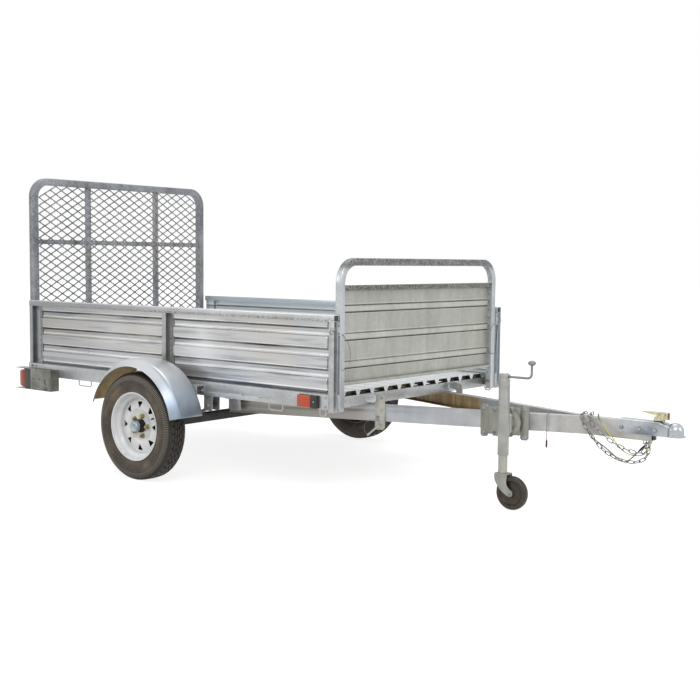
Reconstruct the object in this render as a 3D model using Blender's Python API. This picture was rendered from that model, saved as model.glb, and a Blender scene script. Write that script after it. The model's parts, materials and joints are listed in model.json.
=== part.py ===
# Galvanised single-axle utility trailer with ribbed side walls, a lattice ramp
# gate at the rear, a folding front gate, a tilting bed and a swivel jack.
# Metres, +X towards the coupler, +Y to the left, +Z up, wheels standing on z = 0.
# Places along the trailer are measured forward from the rear end of the side walls.
import bpy
import bmesh
from math import atan, cos, pi, radians, sin, sqrt
from mathutils import Vector
from mathutils.geometry import interpolate_bezier

# Room that is left between two pieces that touch
GAP = 0.0003

# Bed: side walls and rails
BED_LENGTH = 2.250
BED_HALF = 0.700
WALL_TOP = 0.846
RAIL_TOP = 0.491
RAIL_BOTTOM = 0.423
RAIL_FLANGE = 0.033
RAIL_SHEET = 0.003
RAIL_SHORT = 0.030
CAP_WIDTH = 0.036
CAP_HEIGHT = 0.030
CAP_SHEET = 0.003
POST_DEPTH = 0.028
POST_SHEET = 0.003
FRONT_POST = 0.032
SHEET = 0.002
RIB_DEPTH = 0.014
RIB_RUN_OUT = 0.025
HOOK_DEPTH = 0.030
HOOK_WIRE = 0.0035
HOOK_INSET = 0.010
BOLT_HOLE = 0.0042

# Floor and the channels under it
FLOOR_BASE = 0.4645
FLOOR_REAR = 0.022
FLOOR_SHORT = 0.075
FLOOR_RIDGE = 0.022
FLOOR_RIDGES = 10
RIDGE_FOOT = 0.052
RIDGE_HEAD = 0.040
CROSS_HEIGHT = 0.050
CROSS_DEPTH = 0.038

# Overall places: how far the drawbar and the lamp brackets reach past the bed
DRAWBAR_REACH = 1.327
LAMP_REACH = 0.050
TAIL = -LAMP_REACH
NOSE = BED_LENGTH + DRAWBAR_REACH
MIDDLE = (TAIL + NOSE) / 2

# Wheels and running gear
AXLE_X = BED_LENGTH / 2 + 0.035
TYRE_RADIUS = 0.2655
WHEEL_Y = BED_HALF + 0.164
AXLE_SIZE = 0.045
AXLE_HALF = BED_HALF + 0.045
SPINDLE_RADIUS = 0.0145
SPINDLE_END = 0.012
SPRING_Y = BED_HALF - 0.036
SPRING_WIDTH = 0.045
SPRING_HALF = 0.285
SPRING_EYE_Z = 0.372
SPRING_EYE = 0.014
SPRING_CLAMP = 0.050
HANGER_LOW = 0.348
HANGER_HALF = 0.028
HANGER_SHEET = 0.004
FENDER_SHEET = 0.0025
FENDER_STAY = 0.247

# Front gate
FRONT_PIVOT = (BED_LENGTH - 0.020, 0.455)
FRONT_HALF = BED_HALF - 0.050
FRONT_TOP = 1.098
FRONT_FOOT = 0.411
FRONT_TUBE = 0.032
FRONT_FACE = 0.034
FRONT_CORNER = 0.115
FRONT_PANEL = (0.527, 0.976)
FRONT_LIP = 0.023
CATCH = (0.752, 0.812)

# Ramp gate
RAMP_PIVOT = (-0.026, 0.462)
RAMP_HALF = BED_HALF - 0.039
RAMP_TOP = 1.539
RAMP_FOOT = 0.430
RAMP_TUBE = 0.040
RAMP_CORNER = 0.110
RAMP_SILL = (0.478, 0.510)
RAMP_BAR = (1.164, 1.190)
RAMP_UPRIGHTS = 0.396 * RAMP_HALF
UPRIGHT_HALF = 0.014
HINGE_PIN = 0.008
HINGE_CLEAR = 0.0004
HINGE_SHEET = 0.006

# Lattice of the ramp gate: a diamond's width and height, and the strand's
# half width and depth
DIAMOND = (0.0830, 0.0502)
STRAND = (0.0036, 0.0030)

# Drawbar
BAR_BOTTOM = 0.336
BAR_TOP = 0.413
BAR_FLANGE = 0.038
BAR_SHEET = 0.004
NOSE_HALF = 0.028
BEND = NOSE - 0.4476
BAR_END = NOSE - 0.137
TILT_PIVOT = (BED_LENGTH - 0.735, 0.375)
TILT_PIN = 0.008
BAR_REAR = TILT_PIVOT[0] - 0.025
# how far inside the bed's side a beam's outer face is at the tilt pivot
BAR_INSET = 0.123104
LATCH_X = BED_LENGTH - 0.018
LATCH_PIN_Z = 0.318

# Coupler
COUPLER_REAR = NOSE - 0.289
COUPLER_HALF = 0.0325
COUPLER_TOP = 0.421
COUPLER_BOTTOM = 0.364
LIP_BOTTOM = 0.362
LIP_TOP = 0.3665
SOCKET_X = NOSE - 0.043
SOCKET_RADIUS = 0.028
DOME_RADIUS = 0.036
LIP_RADIUS = 0.043

# Jack
JACK_X = NOSE - 0.727
JACK_OFFSET = 0.117
JACK_TUBE = 0.025
JACK_TUBE_BOTTOM = 0.238
JACK_TUBE_TOP = 0.572
JACK_CAP_TOP = 0.600
JACK_PIVOT_Z = 0.372
JACK_INNER = 0.0205
JACK_LEG_BOTTOM = 0.1603
JACK_WHEEL_RADIUS = 0.075
JACK_WHEEL_HALF = 0.018
JACK_TRAIL = 0.050
CRANK_Z = 0.586
CRANK_REACH = 0.135
CRANK_ROD = 0.0065
MOUNT_X = JACK_X - 0.038
SWIVEL_NEAR = 0.060

# Safety chains
LINK_PITCH = 0.0270
LINK_WIDE = 0.0075
LINK_WIRE = 0.0034
# how far a link's end reaches past the middle of the joint
LINK_LAP = 0.0009
ANCHOR_BAR = 0.0030


def along(from_rear):
    return from_rear - MIDDLE


BAR_SLOPE = (BED_HALF - BAR_INSET - NOSE_HALF) / (BEND - TILT_PIVOT[0])
BAR_YAW = atan(BAR_SLOPE)


def bar_half(from_rear):
    return NOSE_HALF + BAR_SLOPE * (BEND - from_rear)


JACK_Y = -(bar_half(JACK_X) + JACK_OFFSET / cos(BAR_YAW))

for stale in list(bpy.data.objects):
    bpy.data.objects.remove(stale, do_unlink=True)

scene = bpy.context.scene
materials = {}


def material(name, colour, roughness, metallic):
    made = bpy.data.materials.new(name)
    made.use_nodes = True
    shader = made.node_tree.nodes["Principled BSDF"]
    shader.inputs["Base Color"].default_value = (*colour, 1.0)
    shader.inputs["Roughness"].default_value = roughness
    shader.inputs["Metallic"].default_value = metallic
    materials[name] = made


# name, colour, roughness, metallic
for row in (
    ("galvanised", (0.62, 0.64, 0.66), 0.38, 0.9),
    ("zinc", (0.72, 0.66, 0.48), 0.35, 0.9),
    ("grey_paint", (0.42, 0.43, 0.44), 0.45, 0.2),
    ("white_paint", (0.85, 0.85, 0.84), 0.35, 0.0),
    ("dark_steel", (0.06, 0.06, 0.06), 0.55, 0.4),
    ("rubber_black", (0.03, 0.03, 0.03), 0.85, 0.0),
    ("red_lens", (0.65, 0.03, 0.02), 0.15, 0.0),
    ("amber_lens", (0.9, 0.22, 0.02), 0.15, 0.0),
    ("black_plastic", (0.03, 0.03, 0.03), 0.5, 0.0),
    ("lead_sheath", (0.25, 0.3, 0.08), 0.6, 0.0),
    ("grey_sheath", (0.2, 0.2, 0.2), 0.6, 0.0),
    ("red_plastic", (0.25, 0.03, 0.03), 0.5, 0.0),
):
    material(*row)


def world_place(thing):
    place = Vector(thing.location)
    while thing.parent:
        thing = thing.parent
        place += Vector(thing.location)
    return place


def empty(name, place, parent=None):
    """An axis that a moving body turns on or slides along."""
    made = bpy.data.objects.new(name, None)
    scene.collection.objects.link(made)
    made.parent = parent
    made.location = place if parent is None else Vector(place) - world_place(parent)
    return made


def node(name, mesh, coat, parent, smooth=None):
    """Links a bmesh given in world places as an object whose origin is its parent's."""
    base = world_place(parent)
    bmesh.ops.remove_doubles(mesh, verts=mesh.verts, dist=1e-6)
    bmesh.ops.recalc_face_normals(mesh, faces=mesh.faces)
    bmesh.ops.translate(mesh, verts=mesh.verts, vec=-base)
    data = bpy.data.meshes.new(name)
    mesh.to_mesh(data)
    mesh.free()
    made = bpy.data.objects.new(name, data)
    scene.collection.objects.link(made)
    made.parent = parent
    data.materials.append(materials[coat])
    if smooth:
        data.shade_smooth()
        data.set_sharp_from_angle(angle=radians(smooth))
    return made


def tool(target, mesh, operation):
    """Joins a bmesh to an object or cuts it away with an exact Boolean."""
    helper = node(target.name + "_" + operation.lower(), mesh, "dark_steel", target.parent)
    helper.hide_render = True
    helper.display_type = "WIRE"
    change = target.modifiers.new(helper.name, "BOOLEAN")
    change.operation = operation
    change.solver = "EXACT"
    change.object = helper


def add(target, mesh):
    tool(target, mesh, "UNION")


def cut(target, mesh):
    tool(target, mesh, "DIFFERENCE")


def loft(rings, closed=False, mesh=None):
    """Skins rings of equal vertex counts and caps the two ends."""
    mesh = mesh or bmesh.new()
    rows = [[mesh.verts.new(point) for point in ring] for ring in rings]
    count = len(rows[0])
    pairs = list(zip(rows, rows[1:]))
    if closed:
        pairs.append((rows[-1], rows[0]))
    for first, second in pairs:
        for i in range(count):
            j = (i + 1) % count
            mesh.faces.new((first[i], first[j], second[j], second[i]))
    if not closed:
        mesh.faces.new(list(reversed(rows[0])))
        mesh.faces.new(rows[-1])
    return mesh


def prism(outline, start, end, axis):
    """Extrudes an outline along X, Y or Z; the outline holds the other two in order."""
    def put(a, b, c):
        return {"X": (c, a, b), "Y": (a, c, b), "Z": (a, b, c)}[axis]
    return loft([[put(a, b, c) for a, b in outline] for c in (start, end)])


def block(x, y, z):
    return prism([(x[0], y[0]), (x[1], y[0]), (x[1], y[1]), (x[0], y[1])], z[0], z[1], "Z")


def span(side, near, far):
    """The two places across the trailer at one side, the lower one first."""
    return sorted((side * near, side * far))


def ring(centre, axis, radius, count, turn=0.0):
    """Points round a circle, a flat facing down when the axis is level."""
    axis = Vector(axis).normalized()
    up = Vector((0, 0, 1)) if abs(axis.z) < 0.9 else Vector((1, 0, 0))
    side = axis.cross(up).normalized()
    up = side.cross(axis)
    points = []
    for i in range(count):
        angle = 2 * pi * (i + 0.5) / count + turn
        points.append(Vector(centre) + side * radius * sin(angle) + up * radius * cos(angle))
    return points


def turned(centre, axis, profile, count, closed=False):
    """A turned solid: profile rows are the place along the axis and the radius."""
    axis = Vector(axis).normalized()
    rings = [ring(Vector(centre) + axis * place, axis, radius, count) for place, radius in profile]
    return loft(rings, closed)


def rod(start, end, radius, count=12):
    start = Vector(start)
    end = Vector(end)
    return turned(start, end - start, ((0, radius), ((end - start).length, radius)), count)


def swept(points, radius, count=8, closed=False, mesh=None):
    """A round bar that follows a path, its rings square to the path."""
    points = [Vector(p) for p in points]
    total = len(points)
    rings = []
    side = None
    for i, point in enumerate(points):
        before = points[i - 1] if (closed or i) else points[i]
        after = points[(i + 1) % total] if (closed or i < total - 1) else points[i]
        step = (after - before).normalized()
        if side is None:
            guide = Vector((0, 0, 1)) if abs(step.z) < 0.9 else Vector((1, 0, 0))
            side = step.cross(guide).normalized()
        side = (side - step * side.dot(step)).normalized()
        up = side.cross(step)
        ring_points = []
        for k in range(count):
            angle = 2 * pi * (k + 0.5) / count
            ring_points.append(point + side * radius * cos(angle) + up * radius * sin(angle))
        rings.append(ring_points)
    mesh = loft(rings, closed, mesh)
    # the bar's sides twist a little at its bends, so they are split into flat faces
    bmesh.ops.triangulate(mesh, faces=[face for face in mesh.faces if len(face.verts) == 4])
    return mesh


def smooth_path(route, spacing):
    """Evenly spaced points on a smooth curve through the points of a route."""
    route = [Vector(p) for p in route]
    fine = []
    for i in range(len(route) - 1):
        before = route[max(i - 1, 0)]
        after = route[min(i + 2, len(route) - 1)]
        leave = route[i] + (route[i + 1] - before) / 6
        reach = route[i + 1] - (after - route[i]) / 6
        fine += interpolate_bezier(route[i], leave, reach, route[i + 1], 24)[:-1]
    fine.append(route[-1])
    total = sum((b - a).length for a, b in zip(fine, fine[1:]))
    count = max(2, round(total / spacing))
    points = [fine[0]]
    walked = 0.0
    for a, b in zip(fine, fine[1:]):
        length = (b - a).length
        while len(points) < count and walked + length >= total * len(points) / count:
            points.append(a.lerp(b, (total * len(points) / count - walked) / length))
        walked += length
    points.append(fine[-1])
    return points


def cord(name, route, diameter, coat, parent):
    """A free lead as a tube on a smooth route."""
    base = world_place(parent)
    data = bpy.data.curves.new(name, "CURVE")
    data.dimensions = "3D"
    points = smooth_path(route, diameter * 2.5)
    # each end runs straight for a short way, so its cap lies square
    for place, end, near in ((1, route[0], route[1]), (-1, route[-1], route[-2])):
        step = (Vector(near) - Vector(end)).normalized()
        points.insert(place, Vector(end) + step * diameter * 0.7)
    spline = data.splines.new("POLY")
    spline.points.add(len(points) - 1)
    for knot, point in zip(spline.points, points):
        knot.co = (*(point - base), 1)
    data.bevel_depth = diameter / 2
    data.bevel_resolution = 2
    data.use_fill_caps = True
    data.materials.append(materials[coat])
    made = bpy.data.objects.new(name, data)
    scene.collection.objects.link(made)
    made.parent = parent


def arch(half, foot, top, corner, steps=6):
    """Points of an inverted U in the YZ plane, from the right foot over to the left."""
    points = [(-half, foot)]
    for i in range(steps + 1):
        turn = pi / 2 * i / steps
        points.append((-half + corner - corner * cos(turn), top - corner + corner * sin(turn)))
    for i in range(steps + 1):
        turn = pi / 2 * (1 - i / steps)
        points.append((half - corner + corner * cos(turn), top - corner + corner * sin(turn)))
    points.append((half, foot))
    return points


def hoop(half, foot, top, corner, tube, x):
    """A square tube bent into a hoop, as the loft of its four edges."""
    outer = arch(half, foot, top, corner)
    inner = arch(half - tube, foot, top - tube, corner - tube)
    rings = []
    for (ya, za), (yb, zb) in zip(outer, inner):
        rings.append([(x[0], ya, za), (x[1], ya, za), (x[1], yb, zb), (x[0], yb, zb)])
    return loft(rings)


def on_bar(from_rear, forward, out, z, side=-1):
    """A point by its place on a drawbar beam's outer face: along it, off it and up."""
    direction = Vector((cos(BAR_YAW), sin(BAR_YAW), 0))
    outward = Vector((sin(BAR_YAW), -cos(BAR_YAW), 0))
    foot = Vector((along(from_rear), -bar_half(from_rear), 0))
    point = foot + direction * forward + outward * out
    return Vector((point.x, -side * point.y, z))


def bar_plate(from_rear, outline, out, side=-1):
    """A plate that stands along a beam; its outline holds places along it and heights."""
    return loft([[on_bar(from_rear, forward, depth, z, side) for forward, z in outline]
                 for depth in out])


def oblong(forward, z, chamfer):
    """Outline of a plate with its four corners cut off."""
    c = chamfer
    return [(forward[0] + c, z[0]), (forward[1] - c, z[0]), (forward[1], z[0] + c),
            (forward[1], z[1] - c), (forward[1] - c, z[1]), (forward[0] + c, z[1]),
            (forward[0], z[1] - c), (forward[0], z[0] + c)]


# Bodies: the drawbar carries the rest
drawbar = empty("drawbar", (along(SOCKET_X), 0, 0))
bed = empty("bed_tilt", (along(TILT_PIVOT[0]), 0, TILT_PIVOT[1]), drawbar)
front_gate = empty("front_gate_hinge", (along(FRONT_PIVOT[0]), 0, FRONT_PIVOT[1]), bed)
ramp_gate = empty("ramp_gate_hinge", (along(RAMP_PIVOT[0]), 0, RAMP_PIVOT[1]), bed)
jack = empty("jack_swing", (along(JACK_X), JACK_Y, JACK_PIVOT_Z), drawbar)
jack_leg = empty("jack_slide", (along(JACK_X), JACK_Y, JACK_TUBE_BOTTOM), jack)
caster = empty("jack_swivel", (along(JACK_X), JACK_Y, JACK_LEG_BOTTOM), jack_leg)

SIDES = (("right", -1), ("left", 1))

# Drawbar beams: channels with the web outside, bent parallel at the nose
BAR_HEIGHT = BAR_TOP - BAR_BOTTOM


def bar_section(side, half, direction):
    """The channel's outline at one place, its legs square to the beam's direction."""
    inward = 1 / cos(direction)
    sheet = BAR_SHEET / BAR_HEIGHT
    rows = ((0, 0), (0, 1), (BAR_FLANGE, 1), (BAR_FLANGE, 1 - sheet), (BAR_SHEET, 1 - sheet),
            (BAR_SHEET, sheet), (BAR_FLANGE, sheet), (BAR_FLANGE, 0))
    return [(side * (half - depth * inward), BAR_BOTTOM + BAR_HEIGHT * up) for depth, up in rows]


def nose_section(side):
    """The same outline with its legs cut back to the middle of the nose."""
    web = NOSE_HALF - BAR_SHEET
    return [(y if abs(y) > web - 1e-6 else side * GAP / 2, z)
            for y, z in bar_section(side, NOSE_HALF, 0)]


# how far before the bend the beams' legs start to be cut back
LEG_RUN_OUT = 0.060
ANCHOR_X = (NOSE - 0.177, NOSE - 0.152)
ANCHOR_Y = NOSE_HALF / 2
ANCHOR_Z = BAR_BOTTOM - 0.014
beams = {}
for label, side in SIDES:
    taper = BEND - LEG_RUN_OUT
    stations = [(BAR_REAR, bar_section(side, bar_half(BAR_REAR), BAR_YAW)),
                (taper, bar_section(side, bar_half(taper), BAR_YAW)),
                (BEND, nose_section(side)), (BAR_END, nose_section(side))]
    rings = [[(along(x), y, z) for y, z in section] for x, section in stations]
    beam = node("drawbar_beam_" + label, loft(rings), "galvanised", drawbar)
    beams[label] = beam
    web = bar_half(TILT_PIVOT[0])
    cut(beam, rod((along(TILT_PIVOT[0]), side * (web - 0.070), TILT_PIVOT[1]),
                  (along(TILT_PIVOT[0]), side * (web + 0.080), TILT_PIVOT[1]), TILT_PIN + 0.0008))
    # the loop that its safety chain hangs on
    sunk = BAR_BOTTOM + BAR_SHEET / 2
    y = side * ANCHOR_Y
    add(beam, swept([(along(ANCHOR_X[0]), y, sunk), (along(ANCHOR_X[0]), y, ANCHOR_Z),
                     (along(ANCHOR_X[1]), y, ANCHOR_Z), (along(ANCHOR_X[1]), y, sunk)],
                    ANCHOR_BAR, 6))

# Coupler: a channel over the nose that narrows into a domed socket on a flared lip
coupler_rings = []
# place behind the nose, half width, top
for behind, half, top in ((NOSE - COUPLER_REAR, COUPLER_HALF, COUPLER_TOP),
                          (0.110, COUPLER_HALF, COUPLER_TOP), (0.072, 0.027, 0.412),
                          (0.050, 0.024, 0.396)):
    x = along(NOSE - behind)
    slope = 0.008
    coupler_rings.append([(x, -half, COUPLER_BOTTOM), (x, -half, top - slope),
                          (x, -half + slope, top), (x, half - slope, top),
                          (x, half, top - slope), (x, half, COUPLER_BOTTOM)])
coupler = node("coupler", loft(coupler_rings), "galvanised", drawbar, 30)
dome = ((LIP_BOTTOM + 0.001, DOME_RADIUS), (0.386, DOME_RADIUS), (0.402, 0.0325), (0.414, 0.024),
        (0.421, 0.011))
add(coupler, turned((along(SOCKET_X), 0, 0), (0, 0, 1), dome, 20))
lip = [(along(BAR_END + 0.012), -COUPLER_HALF - 0.002)]
for i in range(11):
    turn = radians(-70 + 14 * i)
    lip.append((along(SOCKET_X) + LIP_RADIUS * cos(turn), LIP_RADIUS * sin(turn)))
lip.append((along(BAR_END + 0.012), COUPLER_HALF + 0.002))
add(coupler, prism(lip, LIP_BOTTOM, LIP_TOP, "Z"))
inner_half = NOSE_HALF + GAP
cut(coupler, block((along(COUPLER_REAR - 0.01), along(BAR_END + 0.040)), (-inner_half, inner_half),
                   (COUPLER_BOTTOM - 0.01, BAR_TOP + GAP)))
cut(coupler, turned((along(SOCKET_X), 0, COUPLER_BOTTOM - 0.012), (0, 0, 1),
                    ((0, SOCKET_RADIUS), (0.034, SOCKET_RADIUS), (0.048, 0.020), (0.056, 0.008)), 20))

# Latch lever: a wedge that points to the rear, on a foot over the coupler
lever = [(NOSE - 0.185, 0.4565), (NOSE - 0.185, 0.4600), (NOSE - 0.077, 0.4610),
         (NOSE - 0.074, 0.4300), (NOSE - 0.099, 0.4280), (NOSE - 0.122, 0.4450)]
latch = node("coupler_latch", prism([(along(x), z) for x, z in lever], -0.012, 0.012, "Y"),
             "zinc", drawbar)
add(latch, block((along(NOSE - 0.137), along(NOSE - 0.097)), (-0.009, 0.009),
                 (COUPLER_TOP + GAP, 0.441)))

# Bed rails: channels open towards the middle, with what is welded to them
# place of the hook's rear leg and of its front leg
HOOKS = ((0.437, 0.542), (BED_LENGTH - 0.397, BED_LENGTH - 0.311),
         (BED_LENGTH - 0.085, BED_LENGTH - 0.050))
RAIL_HOLES = (BED_LENGTH - 0.560, BED_LENGTH - 0.449)
RAIL_HOLE_Z = 0.446
rails = {}
for label, side in SIDES:
    outer = side * BED_HALF
    inner = side * (BED_HALF - RAIL_FLANGE)
    web = side * (BED_HALF - RAIL_SHEET)
    outline = [(outer, RAIL_BOTTOM), (outer, RAIL_TOP), (inner, RAIL_TOP),
               (inner, RAIL_TOP - RAIL_SHEET), (web, RAIL_TOP - RAIL_SHEET),
               (web, RAIL_BOTTOM + RAIL_SHEET), (inner, RAIL_BOTTOM + RAIL_SHEET),
               (inner, RAIL_BOTTOM)]
    rail = node("bed_rail_" + label, prism(outline, along(0), along(BED_LENGTH - RAIL_SHORT), "X"),
                "galvanised", bed)
    rails[label] = rail
    # spring hangers: two cheeks under the rail at each end of the spring
    spring = side * SPRING_Y
    half = SPRING_WIDTH / 2 + GAP
    for x in (AXLE_X + SPRING_HALF, AXLE_X - SPRING_HALF):
        add(rail, block((along(x - HANGER_HALF), along(x + HANGER_HALF)),
                        (spring - half - HANGER_SHEET, spring + half + HANGER_SHEET),
                        (HANGER_LOW, RAIL_BOTTOM + RAIL_SHEET / 3)))
        cut(rail, block((along(x - HANGER_HALF - 0.012), along(x + HANGER_HALF + 0.012)),
                        (spring - half, spring + half),
                        (HANGER_LOW - 0.010, RAIL_BOTTOM - 0.005)))
    # rope hooks: round bar bent down and back up under the rail
    y = side * (BED_HALF - HOOK_INSET)
    sunk = RAIL_BOTTOM + RAIL_SHEET / 2
    low = RAIL_BOTTOM - HOOK_DEPTH
    for rear, front in HOOKS:
        add(rail, swept([(along(rear), y, sunk), (along(rear), y, low + 0.008),
                         (along(rear + 0.008), y, low), (along(front - 0.008), y, low),
                         (along(front), y, low + 0.008), (along(front), y, sunk)], HOOK_WIRE, 5))
    for x in RAIL_HOLES:
        cut(rail, rod((along(x), side * (BED_HALF - 0.010), RAIL_HOLE_Z),
                      (along(x), side * (BED_HALF + 0.010), RAIL_HOLE_Z), BOLT_HOLE, 10))

# Hinge brackets of the two gates, on the rails, each with its pin
bracket_inner = BED_HALF - RAIL_FLANGE
for label, side in SIDES:
    rail = rails[label]
    near = FRONT_HALF + 0.0055
    add(rail, block((along(BED_LENGTH - 0.063), along(BED_LENGTH)),
                    span(side, near, bracket_inner + 0.002),
                    (RAIL_BOTTOM + RAIL_SHEET / 3, RAIL_TOP - RAIL_SHEET / 3)))
    place = (along(FRONT_PIVOT[0]), FRONT_PIVOT[1])
    add(rail, rod((place[0], side * (near + 0.002), place[1]),
                  (place[0], side * (FRONT_HALF - FRONT_TUBE - 0.006), place[1]), HINGE_PIN))
    add(rail, block((along(-0.045), along(0.060)),
                    span(side, bracket_inner + 0.001, bracket_inner + 0.001 + HINGE_SHEET),
                    (RAIL_BOTTOM + RAIL_SHEET / 2, RAIL_TOP - RAIL_SHEET / 2)))
    place = (along(RAMP_PIVOT[0]), RAMP_PIVOT[1])
    add(rail, rod((place[0], side * (bracket_inner + 0.003), place[1]),
                  (place[0], side * (RAMP_HALF - RAMP_TUBE - 0.005), place[1]), HINGE_PIN))

# Channels under the floor, the front one with ears beside the tilt latches
cross_half = bracket_inner - GAP
cross_top = FLOOR_BASE - GAP
cross_low = cross_top - CROSS_HEIGHT
crossmembers = {}
# name, rear face, direction the channel opens
for label, back, opens in (("front", BED_LENGTH - 0.114, -1), ("tilt", TILT_PIVOT[0] + 0.021, 1),
                           ("middle", AXLE_X - 0.380, -1), ("rear", FLOOR_REAR, 1)):
    t = RAIL_SHEET
    web = back + CROSS_DEPTH if opens < 0 else back
    leg = back if opens < 0 else back + CROSS_DEPTH
    outline = [(along(web), cross_low), (along(leg), cross_low), (along(leg), cross_low + t),
               (along(web + opens * t), cross_low + t), (along(web + opens * t), cross_top - t),
               (along(leg), cross_top - t), (along(leg), cross_top), (along(web), cross_top)]
    crossmembers[label] = node("crossmember_" + label, prism(outline, -cross_half, cross_half, "Y"),
                               "galvanised", bed)

# off the beam's outer face, of the ear outside the beam and of the one inside
EARS = ((0.012, 0.018), (-0.056, -0.050))
EAR_Z = (cross_low + 0.011, cross_top - 0.0035)
for label, side in SIDES:
    for out in EARS:
        add(crossmembers["front"], bar_plate(LATCH_X, oblong((-0.074, -0.016), EAR_Z, 0.008),
                                             out, side))
    # tilt pivots: two ears and a pin through the beam
    web = bar_half(TILT_PIVOT[0])
    x = (along(TILT_PIVOT[0] - 0.020), along(TILT_PIVOT[0] + 0.059))
    z = (TILT_PIVOT[1] - 0.023, cross_low + 0.001)
    tilt = crossmembers["tilt"]
    add(tilt, block(x, span(side, web + 0.0151, web + 0.0211), z))
    add(tilt, block(x, span(side, web - 0.0769, web - 0.0709), z))
    add(tilt, rod((along(TILT_PIVOT[0]), side * (web + 0.018), TILT_PIVOT[1]),
                  (along(TILT_PIVOT[0]), side * (web - 0.074), TILT_PIVOT[1]), TILT_PIN))

# Floor: one corrugated sheet, the ridges running lengthwise
floor_half = bracket_inner - 0.002
pitch = 2 * floor_half / (FLOOR_RIDGES + 0.391)
under = [(-floor_half, FLOOR_BASE)]
for i in range(FLOOR_RIDGES):
    centre = (i - (FLOOR_RIDGES - 1) / 2) * pitch
    foot = RIDGE_FOOT * pitch / 0.128
    head = RIDGE_HEAD * pitch / 0.128
    under += [(centre - foot, FLOOR_BASE), (centre - head, FLOOR_BASE + FLOOR_RIDGE),
              (centre + head, FLOOR_BASE + FLOOR_RIDGE), (centre + foot, FLOOR_BASE)]
under.append((floor_half, FLOOR_BASE))
upper = [(y, z + SHEET) for y, z in reversed(under)]
node("floor", prism(under + upper, along(FLOOR_REAR), along(BED_LENGTH - FLOOR_SHORT), "X"),
     "galvanised", bed)

# Side walls: posts and cap rail as one frame, and two pressed panels each side
cap_low = WALL_TOP - CAP_HEIGHT
panel_face = BED_HALF - POST_DEPTH
panel_split = BED_LENGTH / 2 - 0.0005
front_web = BED_LENGTH - 0.0297
# name, web place, outer flange length, inner flange length, foot
POSTS = (("rear", 0.004, 0.027, 0.085, RAIL_TOP + GAP),
         ("middle", panel_split - 0.0015, 0.027, 0.058, RAIL_TOP + GAP),
         ("front", front_web, 0.0297, 0.0297, FRONT_FOOT))
for label, side in SIDES:
    inner = BED_HALF - CAP_WIDTH
    cap = block((along(0.002), along(BED_LENGTH)), span(side, inner, BED_HALF), (cap_low, WALL_TOP))
    frame = node("side_frame_" + label, cap, "galvanised", bed)
    near = side * (panel_face + POST_SHEET + GAP)
    far = side * BED_HALF
    t = POST_SHEET
    for post, web, outer_leg, inner_leg, low in POSTS:
        outline = [(along(web), far), (along(web + outer_leg), far),
                   (along(web + outer_leg), far - side * t), (along(web + t), far - side * t),
                   (along(web + t), near), (along(web + inner_leg), near),
                   (along(web + inner_leg), near - side * t), (along(web), near - side * t)]
        add(frame, prism(outline, low, cap_low + 0.001, "Z"))
    # catch beside the front gate, which its pin goes through
    add(frame, block((along(front_web + 0.002), along(BED_LENGTH - 0.001)),
                     span(side, FRONT_HALF + 0.0055, panel_face + t), CATCH))
    core = block((along(-0.1), along(BED_LENGTH + 0.1)),
                 span(side, inner + CAP_SHEET, BED_HALF - CAP_SHEET),
                 (cap_low + CAP_SHEET, WALL_TOP - CAP_SHEET))
    cut(frame, core)

# height of each rib's middle, half height of its foot, half height of its head
RIBS = ((0.584, 0.022, 0.012), (0.678, 0.022, 0.012), (0.771, 0.022, 0.012))


def ribbed(rib_rows, low, high, depth):
    """Profile of a pressed sheet: height and how far it stands out."""
    points = [(low, 0.0)]
    for middle, foot, head in rib_rows:
        points += [(middle - foot, 0.0), (middle - head, depth),
                   (middle + head, depth), (middle + foot, 0.0)]
    points.append((high, 0.0))
    return points


def pressed_panel(rib_rows, low, high, start, end, flats, put, depth):
    """Ribs pressed out of a flat sheet, running out before the flats at its ends."""
    rings = []
    first = start + flats[0]
    last = end - flats[1]
    for place, share in ((start, 0), (first, 0), (first + RIB_RUN_OUT, 1),
                         (last - RIB_RUN_OUT, 1), (last, 0), (end, 0)):
        profile = ribbed(rib_rows, low, high, depth)
        front = [put(place, out * share, z) for z, out in profile]
        back = [put(place, out * share - SHEET, z) for z, out in reversed(profile)]
        rings.append(front + back)
    mesh = loft(rings)
    # both skins of a rib's run-out fold along the same diagonal
    sides = [face for face in mesh.faces if len(face.verts) == 4]
    bmesh.ops.triangulate(mesh, faces=sides, quad_method="SHORT_EDGE")
    return mesh


for label, side in SIDES:
    for part, start, end, flats in (
        ("rear", 0.012, panel_split - GAP, (0.085, 0.010)),
        ("front", panel_split + GAP, front_web - 0.003, (0.060, 0.010)),
    ):
        panel = pressed_panel(RIBS, RAIL_TOP + GAP, cap_low - GAP, start, end, flats,
                              lambda place, out, z: (along(place), side * (panel_face + out), z),
                              RIB_DEPTH)
        node("side_panel_%s_%s" % (part, label), panel, "galvanised", bed)

# Front gate: bent hoop with a pressed panel behind it
gate_x = (along(FRONT_PIVOT[0] - FRONT_TUBE / 2), along(FRONT_PIVOT[0] + FRONT_TUBE / 2))
front_hoop = node("front_gate_hoop", hoop(FRONT_HALF, FRONT_FOOT, FRONT_TOP, FRONT_CORNER,
                                          FRONT_FACE, gate_x), "galvanised", front_gate)
panel_half = FRONT_HALF - FRONT_FACE - GAP
# height of each rib's middle, half height of its foot, half height of its head
GATE_RIBS = ((0.617, 0.019, 0.010), (0.744, 0.019, 0.010), (0.870, 0.019, 0.010))
GATE_RIB_DEPTH = 0.010
gate_back = FRONT_PIVOT[0] - FRONT_TUBE / 2 + 0.003
gate_panel = pressed_panel(GATE_RIBS, FRONT_PANEL[0], FRONT_PANEL[1], -panel_half, panel_half,
                           (0.004, 0.004),
                           lambda place, out, z: (along(gate_back + out), place, z),
                           GATE_RIB_DEPTH)
front_panel = node("front_gate_panel", gate_panel, "galvanised", front_gate)
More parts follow.
